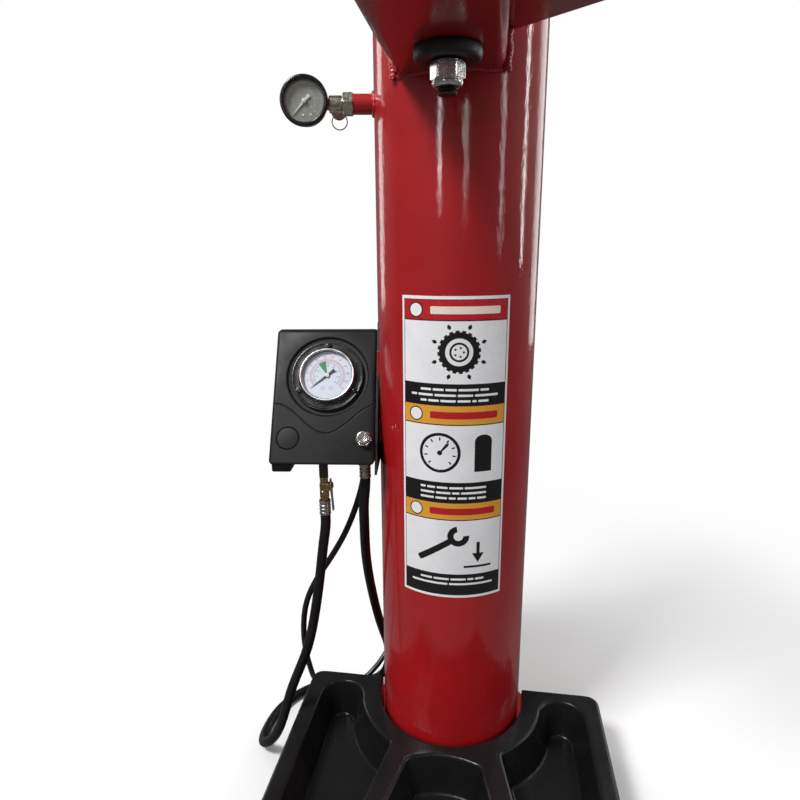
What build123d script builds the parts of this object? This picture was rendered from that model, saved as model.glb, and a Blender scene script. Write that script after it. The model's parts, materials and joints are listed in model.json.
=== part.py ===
"""Blast air tank column of a tyre changer: gauges, safety valve, console, hoses, arm mount and tool tray.

Frame: origin on the tank axis at the underside of the base flange, +Z up, front of the tank towards -Y.
Every piece is one node. All sizes are in millimetres.
"""
from build123d import *
from math import cos, pi, radians, sin
import os

os.makedirs("parts", exist_ok=True)

# ---------------------------------------------------------------- driving dimensions
TANK_R = 84.15
TANK_WALL = 5.0
TANK_BORE = TANK_R - TANK_WALL
FLANGE_R = 120.0
FLANGE_T = 12.0
FLANGE_BORE = 60.0
BOLT_PCD = 212.0
BOLT_HOLE_R = 6.75
SHELL_TOP = 830.0
HEAD_T = 5.0
TOP_DEPTH = 42.0
BOTTOM_HEAD_Z = 74.0
BOTTOM_DEPTH = 38.0
HEAD_SKIRT = 16.0
FIT_GAP = 0.05

PORT_Z = 200.0
BLAST_AZIMUTH = 180.0
BLAST_SOCKET_R = 21.0
BLAST_SOCKET_L = 32.0
BLAST_PORT_R = 15.15
BLAST_PORT_L = 24.0
BLAST_PILOT_R = 12.5
INLET_AZIMUTH = 150.0
INLET_SOCKET_R = 12.0
INLET_SOCKET_L = 20.0
INLET_PORT_R = 7.475
INLET_PORT_L = 14.0
INLET_PILOT_R = 5.5
SUPPLY_AZIMUTH = 210.0
SUPPLY_Z = 105.0
SUPPLY_SOCKET_R = 9.0
SUPPLY_SOCKET_L = 9.0
SUPPLY_PORT_R = 4.55
SUPPLY_PORT_L = 8.0
SUPPLY_PILOT_R = 3.0
GAUGE_PILOT_R = 4.0
DRAIN_Z = 22.0
DRAIN_R = 5.0
COCK_Y = 104.0

LABEL_LOW = 256.6
LABEL_HIGH = 573.8
LABEL_CENTRE = 3.05
LABEL_ARC = 75.2
LABEL_T = 0.3

WEB_Z = 765.0
SHEET_T = 6.0
FOLD_R = 9.0
CHANNEL_LEFT = -54.0
CHANNEL_RIGHT = 44.0
ARM_FRONT = -330.0
DECK_Z = 797.0
DECK_T = 10.0
BOLT_X = -0.5
BOLT_Y = -145.0
BOLT_R = 8.0
BOLT_CLEARANCE_R = 8.75
BOLT_HEX = 24.0
HEAD_H = 10.0
WASHER_T = 3.0
PAD_R = 26.6
PAD_T = 10.0
NUT_H = 13.0
NUT_COLLAR_H = 5.0
STUD_OUT = 5.6
BEAD_START = -37.0
BEAD_ARC = 66.0

GAUGE_AZIMUTH = -80.0
GAUGE_Z = 755.0
NIPPLE_R = 9.5
NIPPLE_END = 104.5
TEE_HEX_END = 114.8
TEE_END = 128.3
TEE_R = 8.0
BRANCH_AT = 121.2
BRANCH_L = 14.0
SMALL_GAUGE_AT = 151.7
SMALL_CASE_R = 21.5
SMALL_BEZEL_R = 23.3
SMALL_CASE_BACK = -11.0
SMALL_CASE_MOUTH = 10.8
SMALL_DIAL_ZERO = 227.0
POINTER_TIP = 0.80
POINTER_TAIL = 0.34
TEE_HEX = 20.0
VALVE_HEX = 14.5
VALVE_HEX_END = 18.5
VALVE_BODY_R = 8.0
VALVE_SEAT = 20.0
VALVE_CAP = 35.0
VALVE_END = 38.0
VALVE_EYE = 43.0
RING_R = 8.0
RING_WIRE = 0.6

CONSOLE_CENTRE = (-141.0, -33.0, 461.0)
CONSOLE_YAW = 6.0
CONSOLE_SLOPE = 30.0
CONSOLE_HALF_W = 57.0
CONSOLE_HALF_L = 77.0
CONSOLE_WALL = 3.0
CONSOLE_BACK = 52.0
DIAL_X = 2.8
DIAL_Y = 22.9
RECESS_R = 45.5
RECESS_DEPTH = 1.5
GAUGE_FLANGE_R = 40.0
FLANGE_SCREW_R = 35.3
BIG_CASE_R = 29.5
BIG_BEZEL_R = 30.6
BIG_CASE_BACK = -24.0
BIG_CASE_MOUTH = 4.0
BIG_DIAL_ZERO = 219.0
SCREW_START = 90
BUTTON_X = 45.0
BUTTON_Y = -48.2
BUTTON_BUSH_R = 6.0
BUTTON_BUSH_TOP = 3.5
BUTTON_CAP_Z = 7.4
BLANK_X = -37.3
BLANK_Y = -47.1
BLANK_R = 12.0
WAVE_LOW = -41.8
WAVE_RISE = 32.5
WAVE_HALF_PERIOD = 56.0
WAVE_CENTRE = 3.5
GROOVE_W = 1.4
GROOVE_DEPTH = 0.8

HOSE_R = 5.7
HOSE_BORE = 3.0
TUBE_R = 3.6
CHUCK_X = -140.3
CHUCK_Y = -50.0
CHUCK_TOP = 373.6
CHUCK_BOTTOM = 346.0
LEVER_PIN_Z = 362.0
LEVER_PIN_OUT = 7.4
FERRULE_END = 329.0

TRAY_HALF_W = 182.5
TRAY_FRONT = -235.0
TRAY_BACK = 13.0
TRAY_RIM = 70.0
TRAY_FLOOR = 27.0
TRAY_SKIN = 3.0
TRAY_U_R = 89.0
TRAY_TAPER = 14.0
TRAY_CORNER = 14.0
POCKET_FRONT = TRAY_FRONT + 20
SIDE_OUTER = 162.5
SIDE_INNER = 108.5
SIDE_BACK = -29.0
SIDE_MIDDLE = 135.5
SIDE_TOP = -2.0
SIDE_KNEE_X = 62.0
SIDE_KNEE_Y = -92.0
SIDE_FRONT_X = 88.0
MID_BACK_Y = -112.0
MID_BACK_HALF = 40.0
MID_FRONT_HALF = 66.0


# ---------------------------------------------------------------- helpers
def save(piece, name):
    """Labels a finished piece and writes it as one STEP file."""
    piece.label = name
    export_step(piece, f"parts/{name}.step")


def outward(azimuth):
    """Unit vector away from the tank axis; azimuth 0 is the front, positive towards +X."""
    return Vector(sin(radians(azimuth)), -cos(radians(azimuth)), 0)


def radial_plane(azimuth, z, distance=0.0):
    """Plane whose normal points away from the tank axis."""
    out = outward(azimuth)
    return Plane(origin=out * distance + Vector(0, 0, z), x_dir=(0, 0, 1), z_dir=out)


def section_plane(azimuth):
    """Upright plane through the tank axis; local x points outward, local y points up."""
    out = outward(azimuth)
    return Plane(origin=(0, 0, 0), x_dir=out, z_dir=out.cross(Vector(0, 0, 1)))


def disc(plane, start, end, radius, mode=Mode.ADD):
    """Round bar along a plane's normal, from start to end."""
    with BuildSketch(plane.offset(start)) as section:
        Circle(radius)
    extrude(section.sketch, amount=end - start, mode=mode)


def hexagon(plane, start, end, across_flats, mode=Mode.ADD):
    """Hexagonal bar along a plane's normal, from start to end."""
    with BuildSketch(plane.offset(start)) as section:
        RegularPolygon(radius=across_flats / 2, side_count=6, major_radius=False)
    extrude(section.sketch, amount=end - start, mode=mode)


def cut_tank():
    """Removes whatever lies inside the tank's outer surface."""
    Cylinder(TANK_R, 3 * SHELL_TOP, mode=Mode.SUBTRACT)


def dished_head(radius, edge_z, depth):
    """Elliptical head with a short straight skirt; depth is negative for a head that bulges downward."""
    with BuildSketch(Plane.XZ) as section:
        with Locations((0, edge_z)):
            Ellipse(radius, abs(depth))
            Ellipse(radius - HEAD_T, abs(depth) - HEAD_T, mode=Mode.SUBTRACT)
        with Locations((radius, edge_z + depth)):
            Rectangle(2 * radius, 2 * abs(depth), mode=Mode.INTERSECT)
    revolve(section.sketch, axis=Axis.Z)
    low, high = sorted((edge_z, edge_z - HEAD_SKIRT if depth > 0 else edge_z + HEAD_SKIRT))
    disc(Plane.XY, low, high, radius)
    disc(Plane.XY, low, high, radius - HEAD_T, Mode.SUBTRACT)


def coil(plane, radius, wire, start, end, turns):
    """Round-wire compression spring along a plane's normal."""
    base = plane.from_local_coords(Vector(0, 0, start))
    with BuildLine() as path:
        Helix(
            pitch=(end - start) / turns,
            height=end - start,
            radius=radius,
            center=base,
            direction=plane.z_dir,
        )
    with BuildSketch(Plane(origin=path.line @ 0, z_dir=path.line % 0)) as section:
        Circle(wire)
    sweep(section.sketch, path=path.line, is_frenet=True)


# ---------------------------------------------------------------- tank
with BuildPart() as tank_shell:
    disc(Plane.XY, FLANGE_T, SHELL_TOP, TANK_R)
    disc(Plane.XY, FLANGE_T, SHELL_TOP, TANK_BORE, Mode.SUBTRACT)
    for azimuth, z, pilot in (
        (BLAST_AZIMUTH, PORT_Z, BLAST_PILOT_R),
        (INLET_AZIMUTH, PORT_Z, INLET_PILOT_R),
        (SUPPLY_AZIMUTH, SUPPLY_Z, SUPPLY_PILOT_R),
        (GAUGE_AZIMUTH, GAUGE_Z, GAUGE_PILOT_R),
        (BLAST_AZIMUTH, DRAIN_Z, DRAIN_R + 0.5),
    ):
        disc(radial_plane(azimuth, z), TANK_BORE - 10, TANK_R + 5, pilot, Mode.SUBTRACT)
save(tank_shell.part, "tank_shell")

with BuildPart() as top_head:
    dished_head(TANK_R, SHELL_TOP + HEAD_SKIRT, TOP_DEPTH)
save(top_head.part, "top_head")

with BuildPart() as bottom_head:
    dished_head(TANK_BORE, BOTTOM_HEAD_Z, -BOTTOM_DEPTH)
    disc(Plane.XY, 0, BOTTOM_HEAD_Z, DRAIN_R + 0.02, Mode.SUBTRACT)
save(bottom_head.part, "bottom_head")

with BuildPart() as base_flange:
    disc(Plane.XY, 0, FLANGE_T, FLANGE_R)
    disc(Plane.XY, 0, FLANGE_T, FLANGE_BORE, Mode.SUBTRACT)
    with BuildSketch(Plane.XY):
        with PolarLocations(BOLT_PCD / 2, 4, start_angle=45):
            Circle(BOLT_HOLE_R)
    extrude(amount=FLANGE_T, mode=Mode.SUBTRACT)
    chamfer(base_flange.edges().filter_by(GeomType.CIRCLE).group_by(SortBy.RADIUS)[-1], 1.5)
save(base_flange.part, "base_flange")

with BuildPart() as air_sockets:
    for azimuth, z, outer, length in (
        (BLAST_AZIMUTH, PORT_Z, BLAST_SOCKET_R, BLAST_SOCKET_L),
        (INLET_AZIMUTH, PORT_Z, INLET_SOCKET_R, INLET_SOCKET_L),
        (SUPPLY_AZIMUTH, SUPPLY_Z, SUPPLY_SOCKET_R, SUPPLY_SOCKET_L),
    ):
        disc(radial_plane(azimuth, z), TANK_BORE, TANK_R + length, outer)
    cut_tank()
    for azimuth, z, bore, length, depth, pilot in (
        (BLAST_AZIMUTH, PORT_Z, BLAST_PORT_R, BLAST_SOCKET_L, BLAST_PORT_L, BLAST_PILOT_R),
        (INLET_AZIMUTH, PORT_Z, INLET_PORT_R, INLET_SOCKET_L, INLET_PORT_L, INLET_PILOT_R),
        (SUPPLY_AZIMUTH, SUPPLY_Z, SUPPLY_PORT_R, SUPPLY_SOCKET_L, SUPPLY_PORT_L, SUPPLY_PILOT_R),
    ):
        plane = radial_plane(azimuth, z)
        disc(plane, TANK_R + length - depth, TANK_R + length, bore, Mode.SUBTRACT)
        disc(plane, TANK_R - 5, TANK_R + length, pilot, Mode.SUBTRACT)
save(air_sockets.part, "air_sockets")

with BuildPart() as drain_pipe:
    with BuildLine(Plane.YZ) as drain_path:
        FilletPolyline((0, 40), (0, DRAIN_Z), (COCK_Y - 9, DRAIN_Z), radius=8)
    with BuildSketch(Plane.XY.offset(40)):
        Circle(DRAIN_R)
        Circle(DRAIN_R - 1.5, mode=Mode.SUBTRACT)
    sweep(path=drain_path.line)
save(drain_pipe.part, "drain_pipe")

cock_plane = Plane(origin=(0, COCK_Y, DRAIN_Z), x_dir=(1, 0, 0), z_dir=(0, 1, 0))
cock_stem = Plane(origin=(0, COCK_Y, DRAIN_Z), x_dir=(1, 0, 0), z_dir=(0, 0, 1))
with BuildPart() as drain_cock:
    hexagon(cock_plane, -14, -4, 17)
    disc(cock_plane, -4, 14, 8.4)
    disc(cock_plane, 14, 27, 4)
    disc(cock_stem, 0, 14, 4.5)
    disc(cock_plane, -14, -9, DRAIN_R + 0.02, Mode.SUBTRACT)
    disc(cock_plane, -9, 27, 2.5, Mode.SUBTRACT)
    disc(cock_stem, 0, 14, 2.05, Mode.SUBTRACT)
save(drain_cock.part, "drain_cock")

with BuildPart() as drain_lever:
    disc(cock_stem, 4, 18, 2.0)
    with BuildSketch(cock_stem.offset(15)):
        with Locations((15, 0)):
            SlotOverall(42, 10)
    extrude(amount=3)
save(drain_lever.part, "drain_lever")

# ---------------------------------------------------------------- safety label
with BuildPart() as safety_label:
    with BuildSketch(section_plane(LABEL_CENTRE - LABEL_ARC / 2)):
        with Locations((TANK_R + LABEL_T / 2, (LABEL_LOW + LABEL_HIGH) / 2)):
            Rectangle(LABEL_T, LABEL_HIGH - LABEL_LOW)
    revolve(axis=Axis.Z, revolution_arc=LABEL_ARC)
save(safety_label.part, "safety_label")

# ---------------------------------------------------------------- arm mount
channel_mid = (CHANNEL_LEFT + CHANNEL_RIGHT) / 2
channel_w = CHANNEL_RIGHT - CHANNEL_LEFT
channel_h = DECK_Z - WEB_Z
bolt_plane = Plane(origin=(BOLT_X, BOLT_Y, 0), x_dir=(1, 0, 0), z_dir=(0, 0, 1))

with BuildPart() as arm_bracket:
    with BuildSketch(Plane.XZ) as channel:
        with Locations((channel_mid, WEB_Z + channel_h / 2)):
            Rectangle(channel_w, channel_h)
        fillet(channel.vertices().group_by(Axis.Y)[0], FOLD_R)
    extrude(amount=-ARM_FRONT)
    with BuildSketch(Plane.XZ) as hollow:
        with Locations((channel_mid, WEB_Z + SHEET_T + channel_h / 2)):
            Rectangle(channel_w - 2 * SHEET_T, channel_h)
        fillet(hollow.vertices().group_by(Axis.Y)[0], FOLD_R - SHEET_T)
    extrude(amount=-ARM_FRONT, mode=Mode.SUBTRACT)
    cut_tank()
    disc(bolt_plane, WEB_Z, WEB_Z + SHEET_T, BOLT_CLEARANCE_R, Mode.SUBTRACT)
save(arm_bracket.part, "arm_bracket")

with BuildPart() as deck_plate:
    with BuildSketch(Plane.XY.offset(DECK_Z)):
        with BuildLine():
            Polyline(
                (CHANNEL_LEFT, -40),
                (CHANNEL_LEFT, ARM_FRONT),
                (110, ARM_FRONT),
                (186, -262),
                (186, -178.4),
                (49, -68),
                (40, -40),
                close=True,
            )
        make_face()
    extrude(amount=DECK_T)
    cut_tank()
    fillet(deck_plate.edges().filter_by(Axis.Z).group_by(Axis.X)[-1], 12)
    disc(bolt_plane, DECK_Z, DECK_Z + DECK_T, BOLT_CLEARANCE_R, Mode.SUBTRACT)
save(deck_plate.part, "deck_plate")

deck_top = DECK_Z + DECK_T
stud_end = WEB_Z - PAD_T - NUT_H - NUT_COLLAR_H - STUD_OUT
with BuildPart() as pivot_bolt:
    disc(bolt_plane, stud_end, deck_top + WASHER_T, BOLT_R - 0.05)
    chamfer(pivot_bolt.faces().sort_by(Axis.Z)[0].edges(), 1.2)
    hexagon(bolt_plane, deck_top + WASHER_T, deck_top + WASHER_T + HEAD_H, BOLT_HEX)
save(pivot_bolt.part, "pivot_bolt")

with BuildPart() as bolt_washer:
    disc(bolt_plane, deck_top, deck_top + WASHER_T, 15)
    disc(bolt_plane, deck_top, deck_top + WASHER_T, BOLT_CLEARANCE_R, Mode.SUBTRACT)
save(bolt_washer.part, "bolt_washer")

with BuildPart() as spacer_sleeve:
    disc(bolt_plane, WEB_Z + SHEET_T, DECK_Z, 14)
    disc(bolt_plane, WEB_Z + SHEET_T, DECK_Z, BOLT_CLEARANCE_R, Mode.SUBTRACT)
save(spacer_sleeve.part, "spacer_sleeve")

with BuildPart() as rubber_washer:
    disc(bolt_plane, WEB_Z - PAD_T, WEB_Z, PAD_R)
    fillet(rubber_washer.edges(), 3)
    disc(bolt_plane, WEB_Z - PAD_T, WEB_Z, BOLT_R + 0.2, Mode.SUBTRACT)
save(rubber_washer.part, "rubber_washer")

nut_top = WEB_Z - PAD_T
collar_top = nut_top - NUT_H
collar_end = collar_top - NUT_COLLAR_H
with BuildPart() as lock_nut:
    hexagon(bolt_plane, collar_top, nut_top, BOLT_HEX)
    with BuildSketch(Plane(origin=(BOLT_X, BOLT_Y, 0), x_dir=(1, 0, 0), z_dir=(0, -1, 0))):
        with BuildLine():
            Polyline(
                (0, collar_top - 1),
                (BOLT_HEX / 2, collar_top - 1),
                (16, collar_top + 3),
                (16, nut_top - 2),
                (13, nut_top),
                (0, nut_top),
                close=True,
            )
        make_face()
    revolve(axis=Axis((BOLT_X, BOLT_Y, 0), (0, 0, 1)), mode=Mode.INTERSECT)
    disc(bolt_plane, collar_end, collar_top, 10.8)
    fillet(lock_nut.faces().sort_by(Axis.Z)[0].edges(), 1.5)
    disc(bolt_plane, collar_end, nut_top, BOLT_R, Mode.SUBTRACT)
    disc(bolt_plane, collar_end + 1, collar_top, 9.8, Mode.SUBTRACT)
save(lock_nut.part, "lock_nut")

with BuildPart() as nut_insert:
    disc(bolt_plane, collar_end + 1, collar_top, 9.75)
    disc(bolt_plane, collar_end + 1, collar_top, BOLT_R, Mode.SUBTRACT)
save(nut_insert.part, "nut_insert")

# ---------------------------------------------------------------- tank gauge and safety valve
gauge_out = outward(GAUGE_AZIMUTH)
gauge_face = outward(GAUGE_AZIMUTH + 90)
branch_axis = radial_plane(GAUGE_AZIMUTH, GAUGE_Z)
valve_plane = Plane(
    origin=gauge_out * BRANCH_AT + Vector(0, 0, GAUGE_Z), x_dir=(0, 0, 1), z_dir=-gauge_face
)
small_gauge = Plane(
    origin=gauge_out * SMALL_GAUGE_AT + Vector(0, 0, GAUGE_Z + 1.5), x_dir=-gauge_out, z_dir=gauge_face
)

with BuildPart() as gauge_nipple:
    disc(branch_axis, TANK_BORE, NIPPLE_END, NIPPLE_R)
    cut_tank()
    disc(branch_axis, TANK_BORE, NIPPLE_END, GAUGE_PILOT_R, Mode.SUBTRACT)
    disc(branch_axis, 92, NIPPLE_END, 6.6, Mode.SUBTRACT)
save(gauge_nipple.part, "gauge_nipple")

with BuildPart() as gauge_tee:
    disc(branch_axis, 93, NIPPLE_END, 6.5)
    hexagon(branch_axis, NIPPLE_END, TEE_HEX_END, TEE_HEX)
    disc(branch_axis, TEE_HEX_END, TEE_END, TEE_R)
    disc(valve_plane, 0, BRANCH_L, 7.0)
    disc(branch_axis, 93, TEE_END, 3.5, Mode.SUBTRACT)
    disc(branch_axis, 120.5, TEE_END, 5.5, Mode.SUBTRACT)
    disc(valve_plane, 0, BRANCH_L, 3.0, Mode.SUBTRACT)
    disc(valve_plane, 6.2, BRANCH_L, 5.6, Mode.SUBTRACT)
save(gauge_tee.part, "gauge_tee")

with BuildPart() as safety_valve_body:
    disc(valve_plane, 6.5, BRANCH_L, 5.5)
    hexagon(valve_plane, BRANCH_L, VALVE_HEX_END, VALVE_HEX)
    disc(valve_plane, VALVE_HEX_END, VALVE_END, VALVE_BODY_R)
    valve_axis = Axis(valve_plane.origin, valve_plane.z_dir)
    chamfer(safety_valve_body.faces().sort_by(valve_axis)[-1].edges(), 1.2)
    disc(valve_plane, 6.5, VALVE_SEAT, 2.5, Mode.SUBTRACT)
    disc(valve_plane, VALVE_SEAT, VALVE_CAP, 5.6, Mode.SUBTRACT)
    disc(valve_plane, VALVE_CAP, VALVE_END, 1.55, Mode.SUBTRACT)
save(safety_valve_body.part, "safety_valve_body")

with BuildPart() as safety_valve_stem:
    disc(valve_plane, VALVE_SEAT, VALVE_SEAT + 2, 4.8)
    disc(valve_plane, VALVE_SEAT + 2, VALVE_EYE, 1.5)
    eye_plane = Plane(origin=valve_plane.from_local_coords(Vector(0, 0, VALVE_EYE)), z_dir=gauge_out)
    disc(eye_plane, -1.2, 1.2, 2.6)
    disc(eye_plane, -3, 3, 0.95, Mode.SUBTRACT)
save(safety_valve_stem.part, "safety_valve_stem")

with BuildPart() as safety_valve_spring:
    coil(valve_plane, 3.9, 0.5, VALVE_SEAT + 2.8, VALVE_CAP - 0.8, 5)
save(safety_valve_spring.part, "safety_valve_spring")

ring_plane = Plane(
    origin=valve_plane.from_local_coords(Vector(-RING_R, 0, VALVE_EYE)), x_dir=(0, 0, 1), z_dir=-gauge_face
)
with BuildPart(ring_plane) as pull_ring:
    Torus(RING_R, RING_WIRE)
save(pull_ring.part, "pull_ring")


# ---------------------------------------------------------------- gauges
def gauge_set(prefix, plane, case_r, bezel_r, back, mouth, zero, socket, flange=0.0):
    """Dial gauge facing along the plane's normal: case, bezel, lens, dial, Bourdon movement and pointer."""
    plate = back + 7
    dial_z = mouth - 3.4

    with BuildPart() as case:
        disc(plane, back, mouth, case_r)
        if flange > 0:
            disc(plane, -RECESS_DEPTH, 2, flange)
            with BuildSketch(plane.offset(-RECESS_DEPTH)):
                with PolarLocations(FLANGE_SCREW_R, 3, start_angle=SCREW_START):
                    Circle(2.05)
            extrude(amount=8, mode=Mode.SUBTRACT)
            disc(plane, back, back + 1.5, 6.05, Mode.SUBTRACT)
        else:
            side = Plane(origin=plane.from_local_coords(Vector(0, -1.5, 0)), z_dir=plane.x_dir)
            disc(side, 10, case_r + 1, 5.5, Mode.SUBTRACT)
        disc(plane, back + 1.5, mouth, case_r - 1.5, Mode.SUBTRACT)
    save(case.part, f"{prefix}_case")

    with BuildPart() as bezel:
        disc(plane, mouth - 2 if flange else mouth - 5, mouth + 3.2, bezel_r)
        chamfer(bezel.faces().sort_by(Axis(plane.origin, plane.z_dir))[-1].edges(), 1.0)
        disc(plane, back, mouth + 1.7, case_r + 0.02, Mode.SUBTRACT)
        disc(plane, back, mouth + 5, case_r - 2.2, Mode.SUBTRACT)
    save(bezel.part, f"{prefix}_bezel")

    with BuildPart() as lens:
        disc(plane, mouth, mouth + 1.6, case_r - 0.05)
    save(lens.part, f"{prefix}_lens")

    with BuildPart() as dial:
        disc(plane, dial_z, dial_z + 0.8, case_r - 1.6)
        disc(plane, dial_z, dial_z + 0.8, 1.6, Mode.SUBTRACT)
    save(dial.part, f"{prefix}_dial")

    with BuildPart() as movement:
        disc(plane, plate, plate + 2, 0.42 * case_r)
        disc(plane, plate, dial_z - 0.5, 2.4)
        with BuildSketch(plane.offset(plate)):
            with PolarLocations(0.36 * case_r, 2, start_angle=0):
                Circle(1.0)
        extrude(amount=dial_z - plate)
        tube_r = 0.74 * case_r
        with BuildLine(plane.offset(plate + 1)) as curve:
            CenterArc((0, 0), tube_r, -90, 250)
        with BuildSketch(Plane(origin=curve.line @ 0, z_dir=curve.line % 0)):
            Circle(1.4)
        sweep(path=curve.line)
        link = Plane(origin=plane.from_local_coords(Vector(0, 0, plate + 1)), z_dir=-plane.y_dir)
        disc(link, 2, tube_r, 0.8)
        if socket == "back":
            disc(plane, back - 10, plate, 6.0)
            elbow = Plane(origin=plane.from_local_coords(Vector(0, 0, back - 6)), z_dir=-plane.y_dir)
            disc(elbow, 0, 14, 3.5)
        else:
            entry = Plane(origin=plane.from_local_coords(Vector(0, -1.5, 0)), z_dir=plane.x_dir)
            disc(entry, -4, 30.5, 5.4)
            disc(plane, 0, plate, 3.0)
        disc(plane, plate - 3, dial_z, 0.95, Mode.SUBTRACT)
    save(movement.part, f"{prefix}_movement")

    with BuildPart() as pointer:
        disc(plane, plate - 2, dial_z + 2.6, 0.9)
        disc(plane, dial_z + 1.2, dial_z + 2.2, 2.3)
        rest = plane.x_dir * cos(radians(zero)) + plane.y_dir * sin(radians(zero))
        tip = POINTER_TIP * case_r
        tail = POINTER_TAIL * case_r
        with BuildSketch(Plane(origin=plane.origin, x_dir=rest, z_dir=plane.z_dir).offset(dial_z + 1.4)):
            with BuildLine():
                Polyline(
                    (tip, 0),
                    (2, 1.0),
                    (-2, 1.0),
                    (-tail, 1.8),
                    (-tail, -1.8),
                    (-2, -1.0),
                    (2, -1.0),
                    close=True,
                )
            make_face()
        extrude(amount=0.6)
    save(pointer.part, f"{prefix}_pointer")


gauge_set(
    "tank_gauge",
    small_gauge,
    SMALL_CASE_R,
    SMALL_BEZEL_R,
    SMALL_CASE_BACK,
    SMALL_CASE_MOUTH,
    SMALL_DIAL_ZERO,
    "side",
)

# ---------------------------------------------------------------- console
console_right = Vector(cos(radians(CONSOLE_YAW)), sin(radians(CONSOLE_YAW)), 0)
console_back = Vector(-sin(radians(CONSOLE_YAW)), cos(radians(CONSOLE_YAW)), 0)
console_origin = Vector(*CONSOLE_CENTRE)
slope = radians(CONSOLE_SLOPE)
face_normal = console_back * -cos(slope) + Vector(0, 0, sin(slope))
face_plane = Plane(origin=console_origin, x_dir=console_right, z_dir=face_normal)
side_plane = Plane(origin=console_origin, x_dir=console_back, z_dir=console_right)
level_plane = Plane(origin=console_origin, x_dir=console_right, z_dir=(0, 0, 1))
half_h = CONSOLE_HALF_L * cos(slope)
half_d = CONSOLE_HALF_L * sin(slope)
inner_shift = CONSOLE_WALL / cos(slope)
inner_h = half_h - CONSOLE_WALL
inner_d = inner_h * sin(slope) / cos(slope)
tank_side = -console_origin.dot(console_right) - TANK_R
axis_depth = -console_origin.dot(console_back)
floor_z = -half_h + CONSOLE_WALL


def face_spot(x, y):
    """Plane on the console's sloping face, centred on a spot of it."""
    return Plane(origin=face_plane.from_local_coords(Vector(x, y, 0)), x_dir=console_right, z_dir=face_normal)


dial_plane = face_spot(DIAL_X, DIAL_Y)
button_plane = face_spot(BUTTON_X, BUTTON_Y)
blank_plane = face_spot(BLANK_X, BLANK_Y)
chuck_plane = Plane(origin=(CHUCK_X, CHUCK_Y, 0), x_dir=(1, 0, 0), z_dir=(0, 0, 1))
floor_bottom = console_origin.Z - half_h
floor_top = console_origin.Z + floor_z
hose_port = level_plane.from_local_coords(Vector(44.3, -11.7, 0))
tube_port = level_plane.from_local_coords(Vector(40.0, 22.0, 0))
hose_plane = Plane(origin=(hose_port.X, hose_port.Y, 0), x_dir=console_right, z_dir=(0, 0, 1))
tube_plane = Plane(origin=(tube_port.X, tube_port.Y, 0), x_dir=console_right, z_dir=(0, 0, 1))
bracket_screws = ((40, 48), (35, -25), (2, -30))


def wave_point(x):
    """Point of the decorative wave groove on the console's face."""
    lift = WAVE_RISE * (1 - cos(pi * (x - WAVE_CENTRE) / WAVE_HALF_PERIOD)) / 2
    return (x, WAVE_LOW + lift)


with BuildPart() as console_cover:
    with BuildSketch(side_plane):
        with BuildLine():
            Polyline(
                (-half_d, -half_h),
                (half_d, half_h),
                (CONSOLE_BACK, half_h),
                (CONSOLE_BACK, -half_h),
                close=True,
            )
        make_face()
    extrude(amount=CONSOLE_HALF_W, both=True)
    front_face = console_cover.faces().sort_by(Axis(console_origin, face_normal))[-1]
    fillet(front_face.edges(), 3)
    with BuildSketch(side_plane):
        with BuildLine():
            Polyline(
                (-inner_d + inner_shift, -inner_h),
                (inner_d + inner_shift, inner_h),
                (CONSOLE_BACK + 5, inner_h),
                (CONSOLE_BACK + 5, -inner_h),
                close=True,
            )
        make_face()
    extrude(amount=CONSOLE_HALF_W - CONSOLE_WALL, both=True, mode=Mode.SUBTRACT)
    with BuildSketch(level_plane.offset(-half_h)):
        with Locations((-43.5, -half_d + 14)):
            Rectangle(21, 22)
    extrude(amount=-9)
    disc(dial_plane, -RECESS_DEPTH, 5, RECESS_R, Mode.SUBTRACT)
    disc(dial_plane, -8, 5, BIG_CASE_R + 0.3, Mode.SUBTRACT)
    with BuildSketch(dial_plane.offset(-8)):
        with PolarLocations(FLANGE_SCREW_R, 3, start_angle=SCREW_START):
            Circle(2.05)
    extrude(amount=10, mode=Mode.SUBTRACT)
    disc(button_plane, -8, 5, BUTTON_BUSH_R + 0.2, Mode.SUBTRACT)
    disc(blank_plane, -8, 5, BLANK_R, Mode.SUBTRACT)
    disc(chuck_plane, floor_bottom - 1, floor_top + 1, 3.1, Mode.SUBTRACT)
    disc(hose_plane, floor_bottom - 1, floor_top + 1, 6.1, Mode.SUBTRACT)
    disc(tube_plane, floor_bottom - 1, floor_top + 1, 4.6, Mode.SUBTRACT)
    with BuildSketch(side_plane.offset(CONSOLE_HALF_W - 8)):
        with Locations(*bracket_screws):
            Circle(2.6)
    extrude(amount=10, mode=Mode.SUBTRACT)
    with BuildSketch(face_plane.offset(-GROOVE_DEPTH)):
        with BuildLine():
            Spline([wave_point(x) for x in range(-53, 57, 11)])
        trace(line_width=GROOVE_W)
    extrude(amount=GROOVE_DEPTH + 2, mode=Mode.SUBTRACT)
save(console_cover.part, "console_cover")

with BuildPart() as console_back_plate:
    with BuildSketch(side_plane):
        with Locations((CONSOLE_BACK - 1.25, 0)):
            Rectangle(2.5, 2 * inner_h - 0.2)
    extrude(amount=CONSOLE_HALF_W - CONSOLE_WALL - 0.1, both=True)
save(console_back_plate.part, "console_back_plate")

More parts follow.
